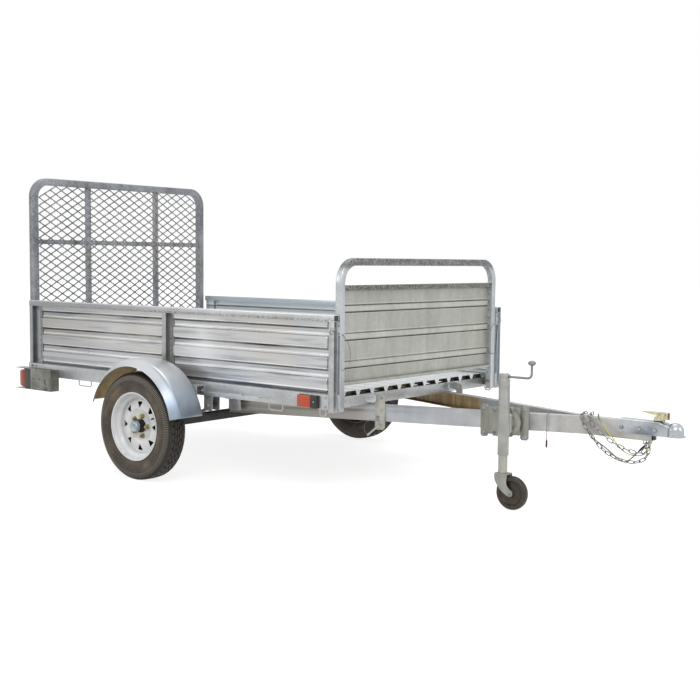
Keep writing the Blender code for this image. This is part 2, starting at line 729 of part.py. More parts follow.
# the sheet's lower edge is folded forward, its upper one forward and down
lip_front = gate_back + 0.024
t = RAIL_SHEET
for x, z in (((gate_back - 0.001, lip_front), (FRONT_PANEL[0], FRONT_PANEL[0] + t)),
             ((gate_back - 0.001, lip_front), (FRONT_PANEL[1] - t, FRONT_PANEL[1])),
             ((lip_front - t, lip_front), (FRONT_PANEL[1] - FRONT_LIP, FRONT_PANEL[1] - t / 2))):
    add(front_panel, block((along(x[0]), along(x[1])), (-panel_half, panel_half), z))

# Ramp gate: hoop, two uprights, a middle bar and the sill in one welded frame
ramp_x = (along(RAMP_PIVOT[0] - RAMP_TUBE / 2), along(RAMP_PIVOT[0] + RAMP_TUBE / 2))
ramp = node("ramp_gate_frame", hoop(RAMP_HALF, RAMP_FOOT, RAMP_TOP, RAMP_CORNER, RAMP_TUBE,
                                    ramp_x), "galvanised", ramp_gate)
inside = RAMP_HALF - RAMP_TUBE
bar_x = (ramp_x[0] + 0.006, ramp_x[1] - 0.006)
for low, high in (RAMP_SILL, RAMP_BAR):
    add(ramp, block(bar_x, (-inside - 0.002, inside + 0.002), (low, high)))
for y in (-RAMP_UPRIGHTS, RAMP_UPRIGHTS):
    add(ramp, block((bar_x[0] + 0.001, bar_x[1] - 0.001), (y - UPRIGHT_HALF, y + UPRIGHT_HALF),
                    (RAMP_SILL[1] - 0.002, RAMP_TOP - RAMP_TUBE + 0.002)))


def lattice(low, half, high, corner, front, depth):
    """Expanded metal: flat strands between diamonds, each with a keel behind it."""
    def inside_corner(y, z):
        over_y = abs(y) - (half - corner)
        over_z = z - (high - corner)
        return over_y < 0 or over_z < 0 or sqrt(over_y ** 2 + over_z ** 2) < corner + 1e-6

    mesh = bmesh.new()
    # a node of the lattice has four corners in front and one behind
    reach_y = STRAND[0] * 0.9
    reach_z = STRAND[0] * 0.6
    columns = round(2 * half / (DIAMOND[0] / 2))
    rows = round((high - low) / (DIAMOND[1] / 2))
    step_y = 2 * half / columns
    step_z = (high - low) / rows
    corners = {}
    for i in range(columns + 1):
        for k in range(rows + 1):
            y = -half + i * step_y
            z = low + k * step_z
            if (i + k) % 2 or not inside_corner(y, z):
                continue
            corners[i, k] = [mesh.verts.new(p) for p in (
                (front, y - reach_y, z), (front, y + reach_y, z), (front, y, z - reach_z),
                (front, y, z + reach_z), (front - depth, y, z))]
    for (i, k), (left, right, down, up, keel) in corners.items():
        mesh.faces.new((left, down, right, up))
        for di, dk in ((1, 1), (-1, 1)):
            other = corners.get((i + di, k + dk))
            if other:
                # the hole beside the strand starts at this node's side corner
                beside = right if di > 0 else left
                far_beside = other[0] if di > 0 else other[1]
                mesh.faces.new((beside, up, far_beside, other[2]))
                mesh.faces.new((up, keel, other[4], far_beside))
                mesh.faces.new((beside, keel, other[4], other[2]))
        # where no strand leaves, the node is closed
        for di, dk, a, b in ((1, 1, right, up), (-1, 1, left, up), (1, -1, right, down),
                             (-1, -1, left, down)):
            if (i + di, k + dk) not in corners:
                mesh.faces.new((a, b, keel))
    return mesh


# the lattice lies against the bars' front faces
grid = lattice(RAMP_SILL[1] + STRAND[0] * 0.6 + GAP, inside - STRAND[0] * 0.9 - GAP,
               RAMP_TOP - RAMP_TUBE - STRAND[0] * 0.6 - GAP,
               RAMP_CORNER - RAMP_TUBE - STRAND[0], bar_x[1] + GAP + STRAND[1], STRAND[1])
node("ramp_gate_lattice", grid, "galvanised", ramp_gate)

# Holes that the gates turn on
for side in (-1, 1):
    for gate, pivot, half in ((front_hoop, FRONT_PIVOT, FRONT_HALF), (ramp, RAMP_PIVOT, RAMP_HALF)):
        cut(gate, rod((along(pivot[0]), side * (half + 0.01), pivot[1]),
                      (along(pivot[0]), side * (half - 0.06), pivot[1]), HINGE_PIN + HINGE_CLEAR))

# Axle beam with its spindles
axle = node("axle", block((along(AXLE_X - AXLE_SIZE / 2), along(AXLE_X + AXLE_SIZE / 2)),
                          (-AXLE_HALF, AXLE_HALF),
                          (TYRE_RADIUS - AXLE_SIZE / 2, TYRE_RADIUS + AXLE_SIZE / 2)),
            "dark_steel", bed)
for side in (-1, 1):
    add(axle, rod((along(AXLE_X), side * (AXLE_HALF - 0.005), TYRE_RADIUS),
                  (along(AXLE_X), side * (WHEEL_Y + SPINDLE_END), TYRE_RADIUS), SPINDLE_RADIUS))

# Leaf springs: three leaves bowed down to the axle, an eye at each end
# how far a leaf reaches from the axle, and the thickness of the pack from there
LEAVES = ((SPRING_HALF, 0.008), (0.205, 0.015), (0.115, 0.022))
crown = TYRE_RADIUS + AXLE_SIZE / 2 + GAP + LEAVES[2][1]
reaches = []
for (reach, thick), (following, _) in zip(LEAVES, LEAVES[1:] + ((SPRING_CLAMP, 0),)):
    inner_end = following + 0.0005 if following > SPRING_CLAMP else following
    reaches += [(-reach, thick), (-(reach + inner_end) / 2, thick), (-inner_end, thick)]
reaches += [(-reach, thick) for reach, thick in reversed(reaches)]
for label, side in SIDES:
    near = side * SPRING_Y - SPRING_WIDTH / 2
    far = side * SPRING_Y + SPRING_WIDTH / 2
    rings = []
    for reach, thick in reaches:
        rise = max(0, abs(reach) - SPRING_CLAMP) / (SPRING_HALF - SPRING_CLAMP)
        top = crown + (SPRING_EYE_Z - crown) * rise ** 2
        x = along(AXLE_X + reach)
        rings.append([(x, near, top - thick), (x, far, top - thick), (x, far, top), (x, near, top)])
    spring = node("leaf_spring_" + label, loft(rings), "dark_steel", bed)
    for end in (-1, 1):
        x = along(AXLE_X + end * SPRING_HALF)
        add(spring, rod((x, near, SPRING_EYE_Z), (x, far, SPRING_EYE_Z), SPRING_EYE, 14))

# Wheels
# place outward from the wheel's middle and radius, round the section
RIM = ((0.056, 0.1690), (0.052, 0.1690), (0.048, 0.1600), (0.018, 0.1400), (-0.018, 0.1400),
       (-0.048, 0.1600), (-0.052, 0.1690), (-0.056, 0.1690), (-0.056, 0.1650), (-0.020, 0.1350),
       (0.002, 0.1350), (0.006, 0.1220), (0.012, 0.0850), (0.002, 0.0720), (0.002, 0.0345),
       (0.007, 0.0345), (0.007, 0.0700), (0.017, 0.0860), (0.011, 0.1240), (0.020, 0.1350),
       (0.050, 0.1555), (0.056, 0.1650))
TYRE = ((0.0463, 0.1610), (0.0512, 0.1695), (0.0590, 0.1820), (0.0635, 0.2080), (0.0610, 0.2380),
        (0.0480, 0.2615), (0.0200, TYRE_RADIUS))
HUB = ((-0.078, 0.030), (-0.010, 0.033), (-0.010, 0.066), (0.0017, 0.066), (0.0017, 0.0340),
       (0.022, 0.0325), (0.040, 0.0300), (0.052, 0.0290), (0.058, 0.0180))
WINDOWS = 8
# radius and half angle of a window's point towards the hub and of its two outer corners
WINDOW = ((0.088, 0.0), (0.118, -0.150), (0.118, 0.150))
WHEEL_SIDES = 30
RIM_SIDES = 24
HUB_SIDES = 16


def faceted(profile, tread, count):
    """Both halves of a tyre's section, the tread's flats as far out as its radius."""
    flat = 1 / cos(pi / count)
    loop = [(place, radius * flat if radius > tread else radius) for place, radius in profile]
    return loop + [(-place, radius) for place, radius in reversed(loop)]


for label, side in SIDES:
    centre = (along(AXLE_X), side * WHEEL_Y, TYRE_RADIUS)
    outward = (0, side, 0)
    spin = empty("wheel_spin_" + label, centre, bed)
    rim = node("rim_" + label, turned(centre, outward, RIM, RIM_SIDES, True), "white_paint", spin, 40)
    holes = bmesh.new()
    for i in range(WINDOWS):
        angle = 2 * pi * (i + 0.5) / WINDOWS
        corners = [(centre[0] + radius * sin(angle + turn), centre[2] + radius * cos(angle + turn))
                   for radius, turn in WINDOW]
        loft([[(x, centre[1] + side * depth, z) for x, z in corners] for depth in (-0.02, 0.03)],
             mesh=holes)
    cut(rim, holes)
    node("tyre_" + label, turned(centre, outward, faceted(TYRE, 0.25, WHEEL_SIDES), WHEEL_SIDES, True),
         "rubber_black", spin, 40)
    hub = node("hub_" + label, turned(centre, outward, HUB, HUB_SIDES), "grey_paint", spin, 40)
    cut(hub, rod((centre[0], side * (WHEEL_Y - 0.09), centre[2]),
                 (centre[0], side * (WHEEL_Y + SPINDLE_END + 0.0005), centre[2]),
                 SPINDLE_RADIUS + GAP))

# Fenders: one rolled sheet over each wheel with a turned-down lip
# distance out from the bed's side and radius from the axle, across the sheet
FENDER = ((0.052, 0.3080), (0.056, 0.3220), (0.090, 0.3310), (0.190, 0.3330), (0.214, 0.3290),
          (0.238, 0.3150), (0.246, 0.2980))
FENDER_ARC = (12, 161)
FENDER_STEPS = 14
middle = sum(out for out, radius in FENDER) / len(FENDER)
lining = [(out + (FENDER_SHEET if out < middle else -FENDER_SHEET), radius - FENDER_SHEET)
          for out, radius in reversed(FENDER)]
for label, side in SIDES:
    rings = []
    for i in range(FENDER_STEPS + 1):
        angle = radians(FENDER_ARC[0] + (FENDER_ARC[1] - FENDER_ARC[0]) * i / FENDER_STEPS)
        rings.append([(along(AXLE_X) + radius * cos(angle), side * (BED_HALF + out),
                       TYRE_RADIUS + radius * sin(angle)) for out, radius in FENDER + tuple(lining)])
    fender = node("fender_" + label, loft(rings), "galvanised", bed, 30)
    for x in (AXLE_X - FENDER_STAY, AXLE_X + FENDER_STAY):
        add(fender, block((along(x - 0.025), along(x + 0.025)),
                          span(side, BED_HALF + GAP, BED_HALF + FENDER[0][0] + 0.0015),
                          (RAIL_BOTTOM + 0.007, RAIL_TOP - 0.013)))

# Tail lamps in brackets that are open to the rear
LAMP_NEAR = BED_HALF + GAP
LAMP_FAR = BED_HALF + 0.057
LAMP_Z = (0.349, 0.467)
LAMP_FRONT = 0.271
LAMP_PLATE = 0.086
LAMP_SHEET = 0.003
LENS_BACK = 0.0302
# place along the trailer, inset at the sides, inset at the top and bottom
LENS = ((LENS_BACK, 0.0, 0.008), (0.0, 0.0, 0.008), (-0.020, 0.004, 0.014), (-0.032, 0.010, 0.026))
# Side markers: rear end, front end and where the lens ends and the black block begins
MARKER = (BED_LENGTH - 0.196, BED_LENGTH - 0.079, BED_LENGTH - 0.116)
MARKER_Z = (0.4265, 0.484)
for label, side in SIDES:
    low, high = LAMP_Z
    t = LAMP_SHEET
    bracket = node("tail_lamp_bracket_" + label,
                   block((along(TAIL), along(LAMP_FRONT)), span(side, LAMP_NEAR, LAMP_FAR), LAMP_Z),
                   "galvanised", bed)
    cut(bracket, block((along(TAIL - 0.01), along(LAMP_FRONT - t)),
                       span(side, LAMP_NEAR + t, LAMP_FAR - t), (low + t, high - t)))
    cut(bracket, block((along(TAIL - 0.01), along(LAMP_PLATE)),
                       span(side, LAMP_FAR - 0.02, LAMP_FAR + 0.01), (low + t, high - t)))
    across = (LAMP_NEAR + t + GAP, LAMP_FAR - t - GAP)
    up = (low + t + GAP, high - t - GAP)
    node("tail_lamp_housing_" + label,
         block((along(LENS_BACK + GAP), along(LENS_BACK + 0.090)), span(side, *across), up),
         "black_plastic", bed)
    rings = []
    for x, inset_y, inset_z in LENS:
        y = span(side, across[0] + inset_y, across[1] - inset_y)
        z = (up[0] + inset_z, up[1] - inset_z)
        rings.append([(along(x), y[0], z[0]), (along(x), y[1], z[0]), (along(x), y[1], z[1]),
                      (along(x), y[0], z[1])])
    node("tail_lamp_lens_" + label, loft(rings), "red_lens", bed)
    # amber marker on a black base near the front of the rail
    rear, front, split = MARKER
    base = node("side_marker_base_" + label,
                block((along(rear), along(front)), span(side, LAMP_NEAR, LAMP_NEAR + 0.008), MARKER_Z),
                "black_plastic", bed)
    add(base, block((along(split), along(front)), span(side, LAMP_NEAR + 0.006, LAMP_NEAR + 0.022),
                    MARKER_Z))
    node("side_marker_lens_" + label,
         block((along(rear + 0.002), along(split - GAP)),
               span(side, LAMP_NEAR + 0.008 + GAP, LAMP_NEAR + 0.024),
               (MARKER_Z[0] + 0.002, MARKER_Z[1] - 0.002)), "amber_lens", bed)

# Tilt latches: a strap on each beam, a pin under the beam and its handle
LATCH_OUT = (GAP, 0.006)
for label, side in SIDES:
    latch = node("tilt_latch_" + label,
                 bar_plate(LATCH_X, oblong((-0.024, 0.024), (0.296, 0.462), 0.010), LATCH_OUT, side),
                 "zinc", drawbar)
    add(latch, rod(on_bar(LATCH_X, 0, 0.034, LATCH_PIN_Z, side),
                   on_bar(LATCH_X, 0, -0.050, LATCH_PIN_Z, side), 0.008))
    add(latch, swept([on_bar(LATCH_X, 0.002, 0.030, LATCH_PIN_Z, side),
                      on_bar(LATCH_X, -0.020, 0.032, LATCH_PIN_Z - 0.018, side),
                      on_bar(LATCH_X, -0.052, 0.034, LATCH_PIN_Z - 0.047, side)], 0.0055, 8))

# Jack: mount on the right beam, column, sliding leg, caster
# straps and the raised plate between them: along the beam, heights, off the beam
MOUNT = (((-0.130, -0.094), (0.298, 0.446), (GAP, 0.0060)),
         ((0.052, 0.090), (0.290, 0.447), (GAP, 0.0060)),
         ((-0.098, 0.056), (0.310, 0.435), (0.0015, 0.0050)),
         ((-0.072, 0.026), (0.306, 0.438), (0.0030, 0.0300)))
mount = None
for forward, z, out in MOUNT:
    plate = bar_plate(MOUNT_X, oblong(forward, z, 0.008), out)
    if mount:
        add(mount, plate)
    else:
        mount = node("jack_mount", plate, "galvanised", drawbar)
add(mount, rod(on_bar(MOUNT_X, 0, 0.028, JACK_PIVOT_Z), on_bar(MOUNT_X, 0, 0.040, JACK_PIVOT_Z),
               0.060, 20))
add(mount, rod(on_bar(MOUNT_X, 0, 0.036, JACK_PIVOT_Z), on_bar(MOUNT_X, 0, SWIVEL_NEAR, JACK_PIVOT_Z),
               0.030, 18))

LEG_SIDES = 18
column_profile = ((JACK_TUBE_BOTTOM, JACK_TUBE), (JACK_TUBE_TOP, JACK_TUBE),
                  (JACK_TUBE_TOP + 0.004, 0.0235), (JACK_CAP_TOP - 0.002, 0.0235),
                  (JACK_CAP_TOP, 0.021))
column = node("jack_column", turned((along(JACK_X), JACK_Y, 0), (0, 0, 1), column_profile, LEG_SIDES),
              "grey_paint", jack, 40)
foot_x = JACK_X - JACK_OFFSET * sin(BAR_YAW)
add(column, bar_plate(foot_x, oblong((-0.028, 0.028), (JACK_PIVOT_Z - 0.045, JACK_PIVOT_Z + 0.045),
                                     0.010), (SWIVEL_NEAR + GAP, 0.100)))
cut(column, rod((along(JACK_X), JACK_Y, JACK_TUBE_BOTTOM - 0.01),
                (along(JACK_X), JACK_Y, JACK_TUBE_TOP - 0.006), JACK_INNER + 0.0004,
                LEG_SIDES))
# crank: an arm out of the cap, a bend up, and a flattened knob
elbow = JACK_X + CRANK_REACH
crank = node("jack_crank", swept([(along(JACK_X + 0.0235 + GAP), JACK_Y, CRANK_Z),
                                  (along(elbow - 0.018), JACK_Y, CRANK_Z),
                                  (along(elbow - 0.005), JACK_Y, CRANK_Z + 0.006),
                                  (along(elbow), JACK_Y, CRANK_Z + 0.020),
                                  (along(elbow), JACK_Y, CRANK_Z + 0.066)], CRANK_ROD),
             "grey_paint", jack, 40)
add(crank, turned((along(elbow), JACK_Y, CRANK_Z + 0.056), (0, 0, 1),
                  ((0, 0.009), (0.005, 0.0165), (0.014, 0.0175), (0.020, 0.013), (0.023, 0.005)), 16))
node("jack_leg", rod((along(JACK_X), JACK_Y, JACK_LEG_BOTTOM), (along(JACK_X), JACK_Y, 0.495),
                     JACK_INNER, LEG_SIDES), "zinc", jack_leg, 40)

# the fork's cheek sweeps back from the leg to the axle of the caster
wheel_x = JACK_X + JACK_TRAIL
cheek = [(JACK_X - 0.030, JACK_LEG_BOTTOM - GAP), (JACK_X - 0.030, 0.142),
         (JACK_X - 0.018, 0.112), (JACK_X + 0.004, 0.084), (wheel_x - 0.016, 0.064),
         (wheel_x + 0.006, 0.061), (wheel_x + 0.014, 0.074), (wheel_x - 0.004, 0.092),
         (wheel_x - 0.018, 0.116), (wheel_x - 0.014, 0.138), (JACK_X + 0.036, JACK_LEG_BOTTOM - GAP)]
half = JACK_WHEEL_HALF + 0.002
sheet = 0.004
fork = node("caster_fork", prism([(along(x), z) for x, z in cheek], JACK_Y - half - sheet,
                                 JACK_Y + half + sheet, "Y"), "grey_paint", caster)
cut(fork, block((along(JACK_X - 0.1), along(JACK_X + 0.2)), (JACK_Y - half, JACK_Y + half),
                (0.0, JACK_LEG_BOTTOM - 0.005)))
add(fork, rod((along(wheel_x), JACK_Y - half - 0.008, JACK_WHEEL_RADIUS),
              (along(wheel_x), JACK_Y + half + 0.008, JACK_WHEEL_RADIUS), 0.006))
roll = empty("caster_roll", (along(wheel_x), JACK_Y, JACK_WHEEL_RADIUS), caster)
CASTER_SIDES = 16
CASTER = ((JACK_WHEEL_HALF, 0.0064), (JACK_WHEEL_HALF, 0.022), (0.008, 0.026), (0.008, 0.048),
          (0.016, 0.054), (0.017, 0.068), (0.010, JACK_WHEEL_RADIUS))
node("caster_wheel", turned((along(wheel_x), JACK_Y, JACK_WHEEL_RADIUS), (0, 1, 0),
                            faceted(CASTER, 0.07, CASTER_SIDES), CASTER_SIDES, True),
     "rubber_black", roll, 40)


# Safety chains: links in turn flat and on edge, the last one round the beam's loop
def chain(name, route):
    joints = smooth_path([(along(x), y, z) for x, y, z in route], LINK_PITCH)
    groups = (bmesh.new(), bmesh.new())
    side = Vector((0, 1, 0))
    count = len(joints) - 1
    for i in range(count - 1, -1, -1):
        centre = (joints[i] + joints[i + 1]) / 2
        reach = (joints[i + 1] - joints[i]).length / 2 + LINK_LAP
        step = (joints[i + 1] - joints[i]).normalized()
        side = (side - step * side.dot(step)).normalized()
        width = side if (count - 1 - i) % 2 == 0 else side.cross(step)
        # corners of a link, as shares of its half length and half width
        link = [centre + step * reach * a + width * LINK_WIDE * b
                for a, b in ((0.60, 1.0), (1.0, 0.0), (0.60, -1.0), (-0.60, -1.0), (-1.0, 0.0),
                             (-0.60, 1.0))]
        swept(link, LINK_WIRE, 3, True, groups[i % 2])
    made = node(name, groups[0], "galvanised", drawbar)
    add(made, groups[1])


# the last link's upper end lies on the bar of the loop
hang_z = ANCHOR_Z + ANCHOR_BAR + LINK_WIRE + GAP - LINK_LAP
anchor_x = sum(ANCHOR_X) / 2
over_nose = BAR_TOP + 0.012
chain("safety_chain_right", [
    (BEND + 0.021, 0.014, over_nose), (BEND + 0.021, -0.010, over_nose),
    (BEND + 0.024, -0.034, 0.421), (BEND + 0.034, -0.048, 0.403), (BEND + 0.060, -0.053, 0.378),
    (BEND + 0.103, -0.052, 0.345), (BEND + 0.156, -0.050, 0.312), (BEND + 0.216, -0.044, 0.290),
    (anchor_x - 0.030, -0.028, 0.279), (anchor_x - 0.006, -0.016, 0.286),
    (anchor_x, -ANCHOR_Y, 0.304), (anchor_x, -ANCHOR_Y, hang_z)])
chain("safety_chain_left", [
    (BEND - 0.014, 0.022, over_nose), (BEND - 0.014, -0.008, over_nose),
    (BEND - 0.012, -0.034, 0.421), (BEND - 0.004, -0.048, 0.403), (BEND + 0.014, -0.055, 0.378),
    (BEND + 0.052, -0.059, 0.335), (BEND + 0.111, -0.067, 0.283), (BEND + 0.176, -0.071, 0.254),
    (anchor_x - 0.058, -0.058, 0.243), (anchor_x - 0.024, -0.026, 0.243),
    (anchor_x - 0.005, 0.004, 0.262), (anchor_x, ANCHOR_Y, 0.292), (anchor_x, ANCHOR_Y, hang_z)])

# Wiring leads: places forward of the bend, across and up
GROUND_THICK = 0.0045
HARNESS_THICK = 0.0055
PLUG = (0.006, 0.0045, 0.044)


def lead_route(rows):
    return [(along(BEND + x), y, z) for x, y, z in rows]


cord("ground_lead", lead_route((
    (0.057, -0.006, BAR_TOP + GAP), (0.057, -0.006, 0.420), (0.059, -0.014, 0.428),
    (0.064, -0.027, 0.428), (0.071, -0.040, 0.420), (0.082, -0.050, 0.407),
    (0.106, -0.062, 0.386), (0.133, -0.070, 0.362), (0.161, -0.074, 0.336),
    (0.183, -0.076, 0.312), (0.206, -0.076, 0.292), (0.233, -0.073, 0.279),
    (0.263, -0.064, 0.275), (0.289, -0.053, 0.281), (0.304, -0.042, 0.296),
    (0.307, -0.030, 0.312), (0.306, -0.025, 0.324), (0.306, -0.025, BAR_BOTTOM - GAP))), GROUND_THICK, "lead_sheath",
     drawbar)
harness = lead_route((
    (0.021, 0.0, BAR_BOTTOM - GAP), (0.021, 0.0, 0.327), (0.029, 0.0, 0.315), (0.051, 0.0, 0.303),
    (0.086, 0.0, 0.283), (0.126, 0.0, 0.256), (0.156, 0.0, 0.236), (0.171, 0.001, 0.230),
    (0.186, 0.001, 0.231), (0.202, 0.002, 0.241), (0.224, 0.003, 0.262), (0.242, 0.004, 0.281)))
cord("harness_lead", harness, HARNESS_THICK, "grey_sheath", drawbar)


def plug(name, start, direction, size, coat):
    """A moulded end on a lead: half width, half thickness and length along a direction."""
    step = Vector(direction).normalized()
    width = Vector((0, 1, 0))
    up = width.cross(step).normalized()
    half, thick, length = size
    rings = []
    for place, share in ((0, 0.7), (0.2, 1.0), (1.0, 1.0)):
        centre = Vector(start) + step * length * place
        rings.append([centre + width * half * share * a + up * thick * share * b
                      for a, b in ((-1, -1), (1, -1), (1, 1), (-1, 1))])
    node(name, loft(rings), coat, drawbar)


rise = Vector(harness[-1]) - Vector(harness[-2])
plug("harness_plug", Vector(harness[-1]) + rise.normalized() * GAP, rise, PLUG, "black_plastic")

# a short lead out of the right beam, over its top, with a connector hanging outside
SHORT_X = JACK_X + 0.125
SHORT_THICK = 0.0032
CONNECTOR = (0.0045, 0.0045, 0.036)
short = [on_bar(SHORT_X, 0, out, z) for out, z in (
    (-BAR_SHEET - GAP, 0.375), (-0.012, 0.375), (-0.030, 0.377), (-0.043, 0.386),
    (-0.047, 0.402), (-0.041, 0.4155), (-0.024, 0.4180), (-0.002, 0.4185), (0.009, 0.414),
    (0.013, 0.402), (0.012, 0.375), (0.011, 0.350), (0.011, 0.322), (0.011, 0.302))]
cord("short_lead", short, SHORT_THICK, "grey_sheath", drawbar)
plug("lead_connector", short[-1] + Vector((0, 0, -GAP)), (0, 0, -1), CONNECTOR, "red_plastic")
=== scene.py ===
# Utility trailer: ribbed galvanised walls, lattice ramp gate, folding front gate, swivel jack.
# Metres; +X towards the coupler, +Y to the left. Places along it count from the bed's rear end.
import bpy
import bmesh
import json
import random
from math import atan, cos, pi, radians, sin, sqrt
from mathutils import Matrix, Vector
from mathutils.geometry import interpolate_bezier
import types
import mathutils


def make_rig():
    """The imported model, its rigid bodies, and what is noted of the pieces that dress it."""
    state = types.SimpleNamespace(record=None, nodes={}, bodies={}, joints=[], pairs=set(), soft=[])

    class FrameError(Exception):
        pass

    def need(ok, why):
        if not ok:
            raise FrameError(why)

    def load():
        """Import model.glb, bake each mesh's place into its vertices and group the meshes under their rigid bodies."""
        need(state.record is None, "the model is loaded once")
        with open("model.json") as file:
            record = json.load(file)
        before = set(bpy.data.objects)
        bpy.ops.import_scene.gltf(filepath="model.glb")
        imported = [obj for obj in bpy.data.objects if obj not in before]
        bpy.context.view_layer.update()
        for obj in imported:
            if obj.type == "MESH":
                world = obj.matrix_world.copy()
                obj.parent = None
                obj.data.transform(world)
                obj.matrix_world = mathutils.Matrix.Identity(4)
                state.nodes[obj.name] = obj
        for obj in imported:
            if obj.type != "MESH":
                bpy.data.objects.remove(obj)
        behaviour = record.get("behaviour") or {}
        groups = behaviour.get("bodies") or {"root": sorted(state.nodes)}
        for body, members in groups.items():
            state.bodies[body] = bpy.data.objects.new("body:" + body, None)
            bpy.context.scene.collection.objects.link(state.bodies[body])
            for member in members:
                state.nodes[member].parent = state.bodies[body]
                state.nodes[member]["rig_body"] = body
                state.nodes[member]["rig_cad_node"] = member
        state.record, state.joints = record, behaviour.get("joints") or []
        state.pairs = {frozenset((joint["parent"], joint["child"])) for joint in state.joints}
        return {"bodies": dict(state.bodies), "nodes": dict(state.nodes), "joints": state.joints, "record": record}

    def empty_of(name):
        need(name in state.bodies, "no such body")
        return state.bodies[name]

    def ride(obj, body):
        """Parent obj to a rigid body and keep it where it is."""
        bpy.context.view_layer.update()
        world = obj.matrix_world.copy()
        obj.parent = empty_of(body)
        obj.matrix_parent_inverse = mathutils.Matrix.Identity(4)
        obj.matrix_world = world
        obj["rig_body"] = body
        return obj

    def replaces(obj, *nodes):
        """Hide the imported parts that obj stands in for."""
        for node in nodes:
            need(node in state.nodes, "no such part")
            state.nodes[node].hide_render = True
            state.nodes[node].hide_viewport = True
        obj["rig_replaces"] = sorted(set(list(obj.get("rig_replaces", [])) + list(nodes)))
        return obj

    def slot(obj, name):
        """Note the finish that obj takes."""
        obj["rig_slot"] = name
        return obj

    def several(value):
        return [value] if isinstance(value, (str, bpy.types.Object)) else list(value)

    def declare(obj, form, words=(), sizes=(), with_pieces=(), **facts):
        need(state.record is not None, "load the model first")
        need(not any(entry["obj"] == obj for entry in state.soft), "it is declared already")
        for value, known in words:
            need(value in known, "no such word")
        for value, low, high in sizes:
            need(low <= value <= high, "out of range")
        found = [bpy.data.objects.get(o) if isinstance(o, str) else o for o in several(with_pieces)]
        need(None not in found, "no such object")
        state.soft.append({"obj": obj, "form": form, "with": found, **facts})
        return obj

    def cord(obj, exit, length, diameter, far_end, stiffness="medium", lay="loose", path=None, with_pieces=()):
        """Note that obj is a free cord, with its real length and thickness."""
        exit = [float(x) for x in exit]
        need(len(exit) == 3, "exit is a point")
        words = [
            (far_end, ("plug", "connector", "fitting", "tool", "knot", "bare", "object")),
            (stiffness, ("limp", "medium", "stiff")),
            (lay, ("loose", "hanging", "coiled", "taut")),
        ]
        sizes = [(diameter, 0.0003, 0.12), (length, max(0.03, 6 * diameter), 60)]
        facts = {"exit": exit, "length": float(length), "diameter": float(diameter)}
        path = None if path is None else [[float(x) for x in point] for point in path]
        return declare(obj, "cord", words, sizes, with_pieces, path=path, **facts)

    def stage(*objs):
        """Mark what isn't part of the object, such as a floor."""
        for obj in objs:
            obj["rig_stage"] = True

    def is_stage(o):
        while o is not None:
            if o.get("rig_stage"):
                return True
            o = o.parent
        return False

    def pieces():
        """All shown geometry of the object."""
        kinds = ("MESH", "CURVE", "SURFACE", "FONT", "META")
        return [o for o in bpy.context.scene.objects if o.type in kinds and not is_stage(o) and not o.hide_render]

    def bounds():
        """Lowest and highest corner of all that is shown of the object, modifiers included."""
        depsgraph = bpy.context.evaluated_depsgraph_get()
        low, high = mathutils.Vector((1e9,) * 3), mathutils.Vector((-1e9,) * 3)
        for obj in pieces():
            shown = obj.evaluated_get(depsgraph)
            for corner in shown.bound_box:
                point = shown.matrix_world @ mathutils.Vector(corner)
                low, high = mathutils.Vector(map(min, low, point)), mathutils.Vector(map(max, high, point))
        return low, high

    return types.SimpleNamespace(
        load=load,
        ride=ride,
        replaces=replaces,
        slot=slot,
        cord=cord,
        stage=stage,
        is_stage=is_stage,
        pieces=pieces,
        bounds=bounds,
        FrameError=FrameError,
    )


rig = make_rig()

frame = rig.load()
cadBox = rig.bounds()
nodes = frame["nodes"]
coats = {}
chance = random.Random(7)
middle = 1.7635                                     # from the bed's rear end to the row's origin
sides = (("right", -1), ("left", 1))


def along(fromRear):
    return fromRear - middle


def linked(name, data, coat=None):                   # an object of this data, in the scene
    made = bpy.data.objects.new(name, data)
    bpy.context.scene.collection.objects.link(made)
    if coat:
        data.materials.append(coats[coat])
    return made


# Camera, solved from the photo's straight edges
cameraValues = {"place": (3.6045, -4.4407, 1.0861), "yaw": 0.6801, "pitch": 0.0804,
                "roll": 0.0096, "lens": 57.06}


def makeCamera(values):
    yaw, pitch, roll = values["yaw"], values["pitch"], values["roll"]
    forward = Vector((-sin(yaw) * cos(pitch), cos(yaw) * cos(pitch), -sin(pitch)))
    level = Vector((cos(yaw), sin(yaw), 0))
    above = level.cross(forward)
    right = level * cos(roll) + above * sin(roll)
    up = above * cos(roll) - level * sin(roll)
    data = bpy.data.cameras.new("photoCamera")
    data.lens = values["lens"]
    data.sensor_width = 36
    camera = linked("photoCamera", data)
    turn = Matrix((right, up, -forward)).transposed().to_4x4()
    camera.matrix_world = Matrix.Translation(values["place"]) @ turn
    bpy.context.scene.camera = camera


makeCamera(cameraValues)
print("camera placed")


# Drawbar beams' faces, which cords, straps and the jack are placed by
barValues = {"bend": 3.1294, "noseHalf": 0.028, "slope": (0.310 - 0.028) / (3.1294 - 2.300),
             "low": 0.336, "top": 0.413}
barYaw = atan(barValues["slope"])


def onBar(fromRear, forward, out, z, side=-1):       # along the beam, off its outer face, up
    half = barValues["noseHalf"] + barValues["slope"] * (barValues["bend"] - fromRear)
    point = Vector((along(fromRear), -half, 0))
    point += Vector((cos(barYaw), sin(barYaw), 0)) * forward
    point += Vector((sin(barYaw), -cos(barYaw), 0)) * out
    return Vector((point.x, -side * point.y, z))


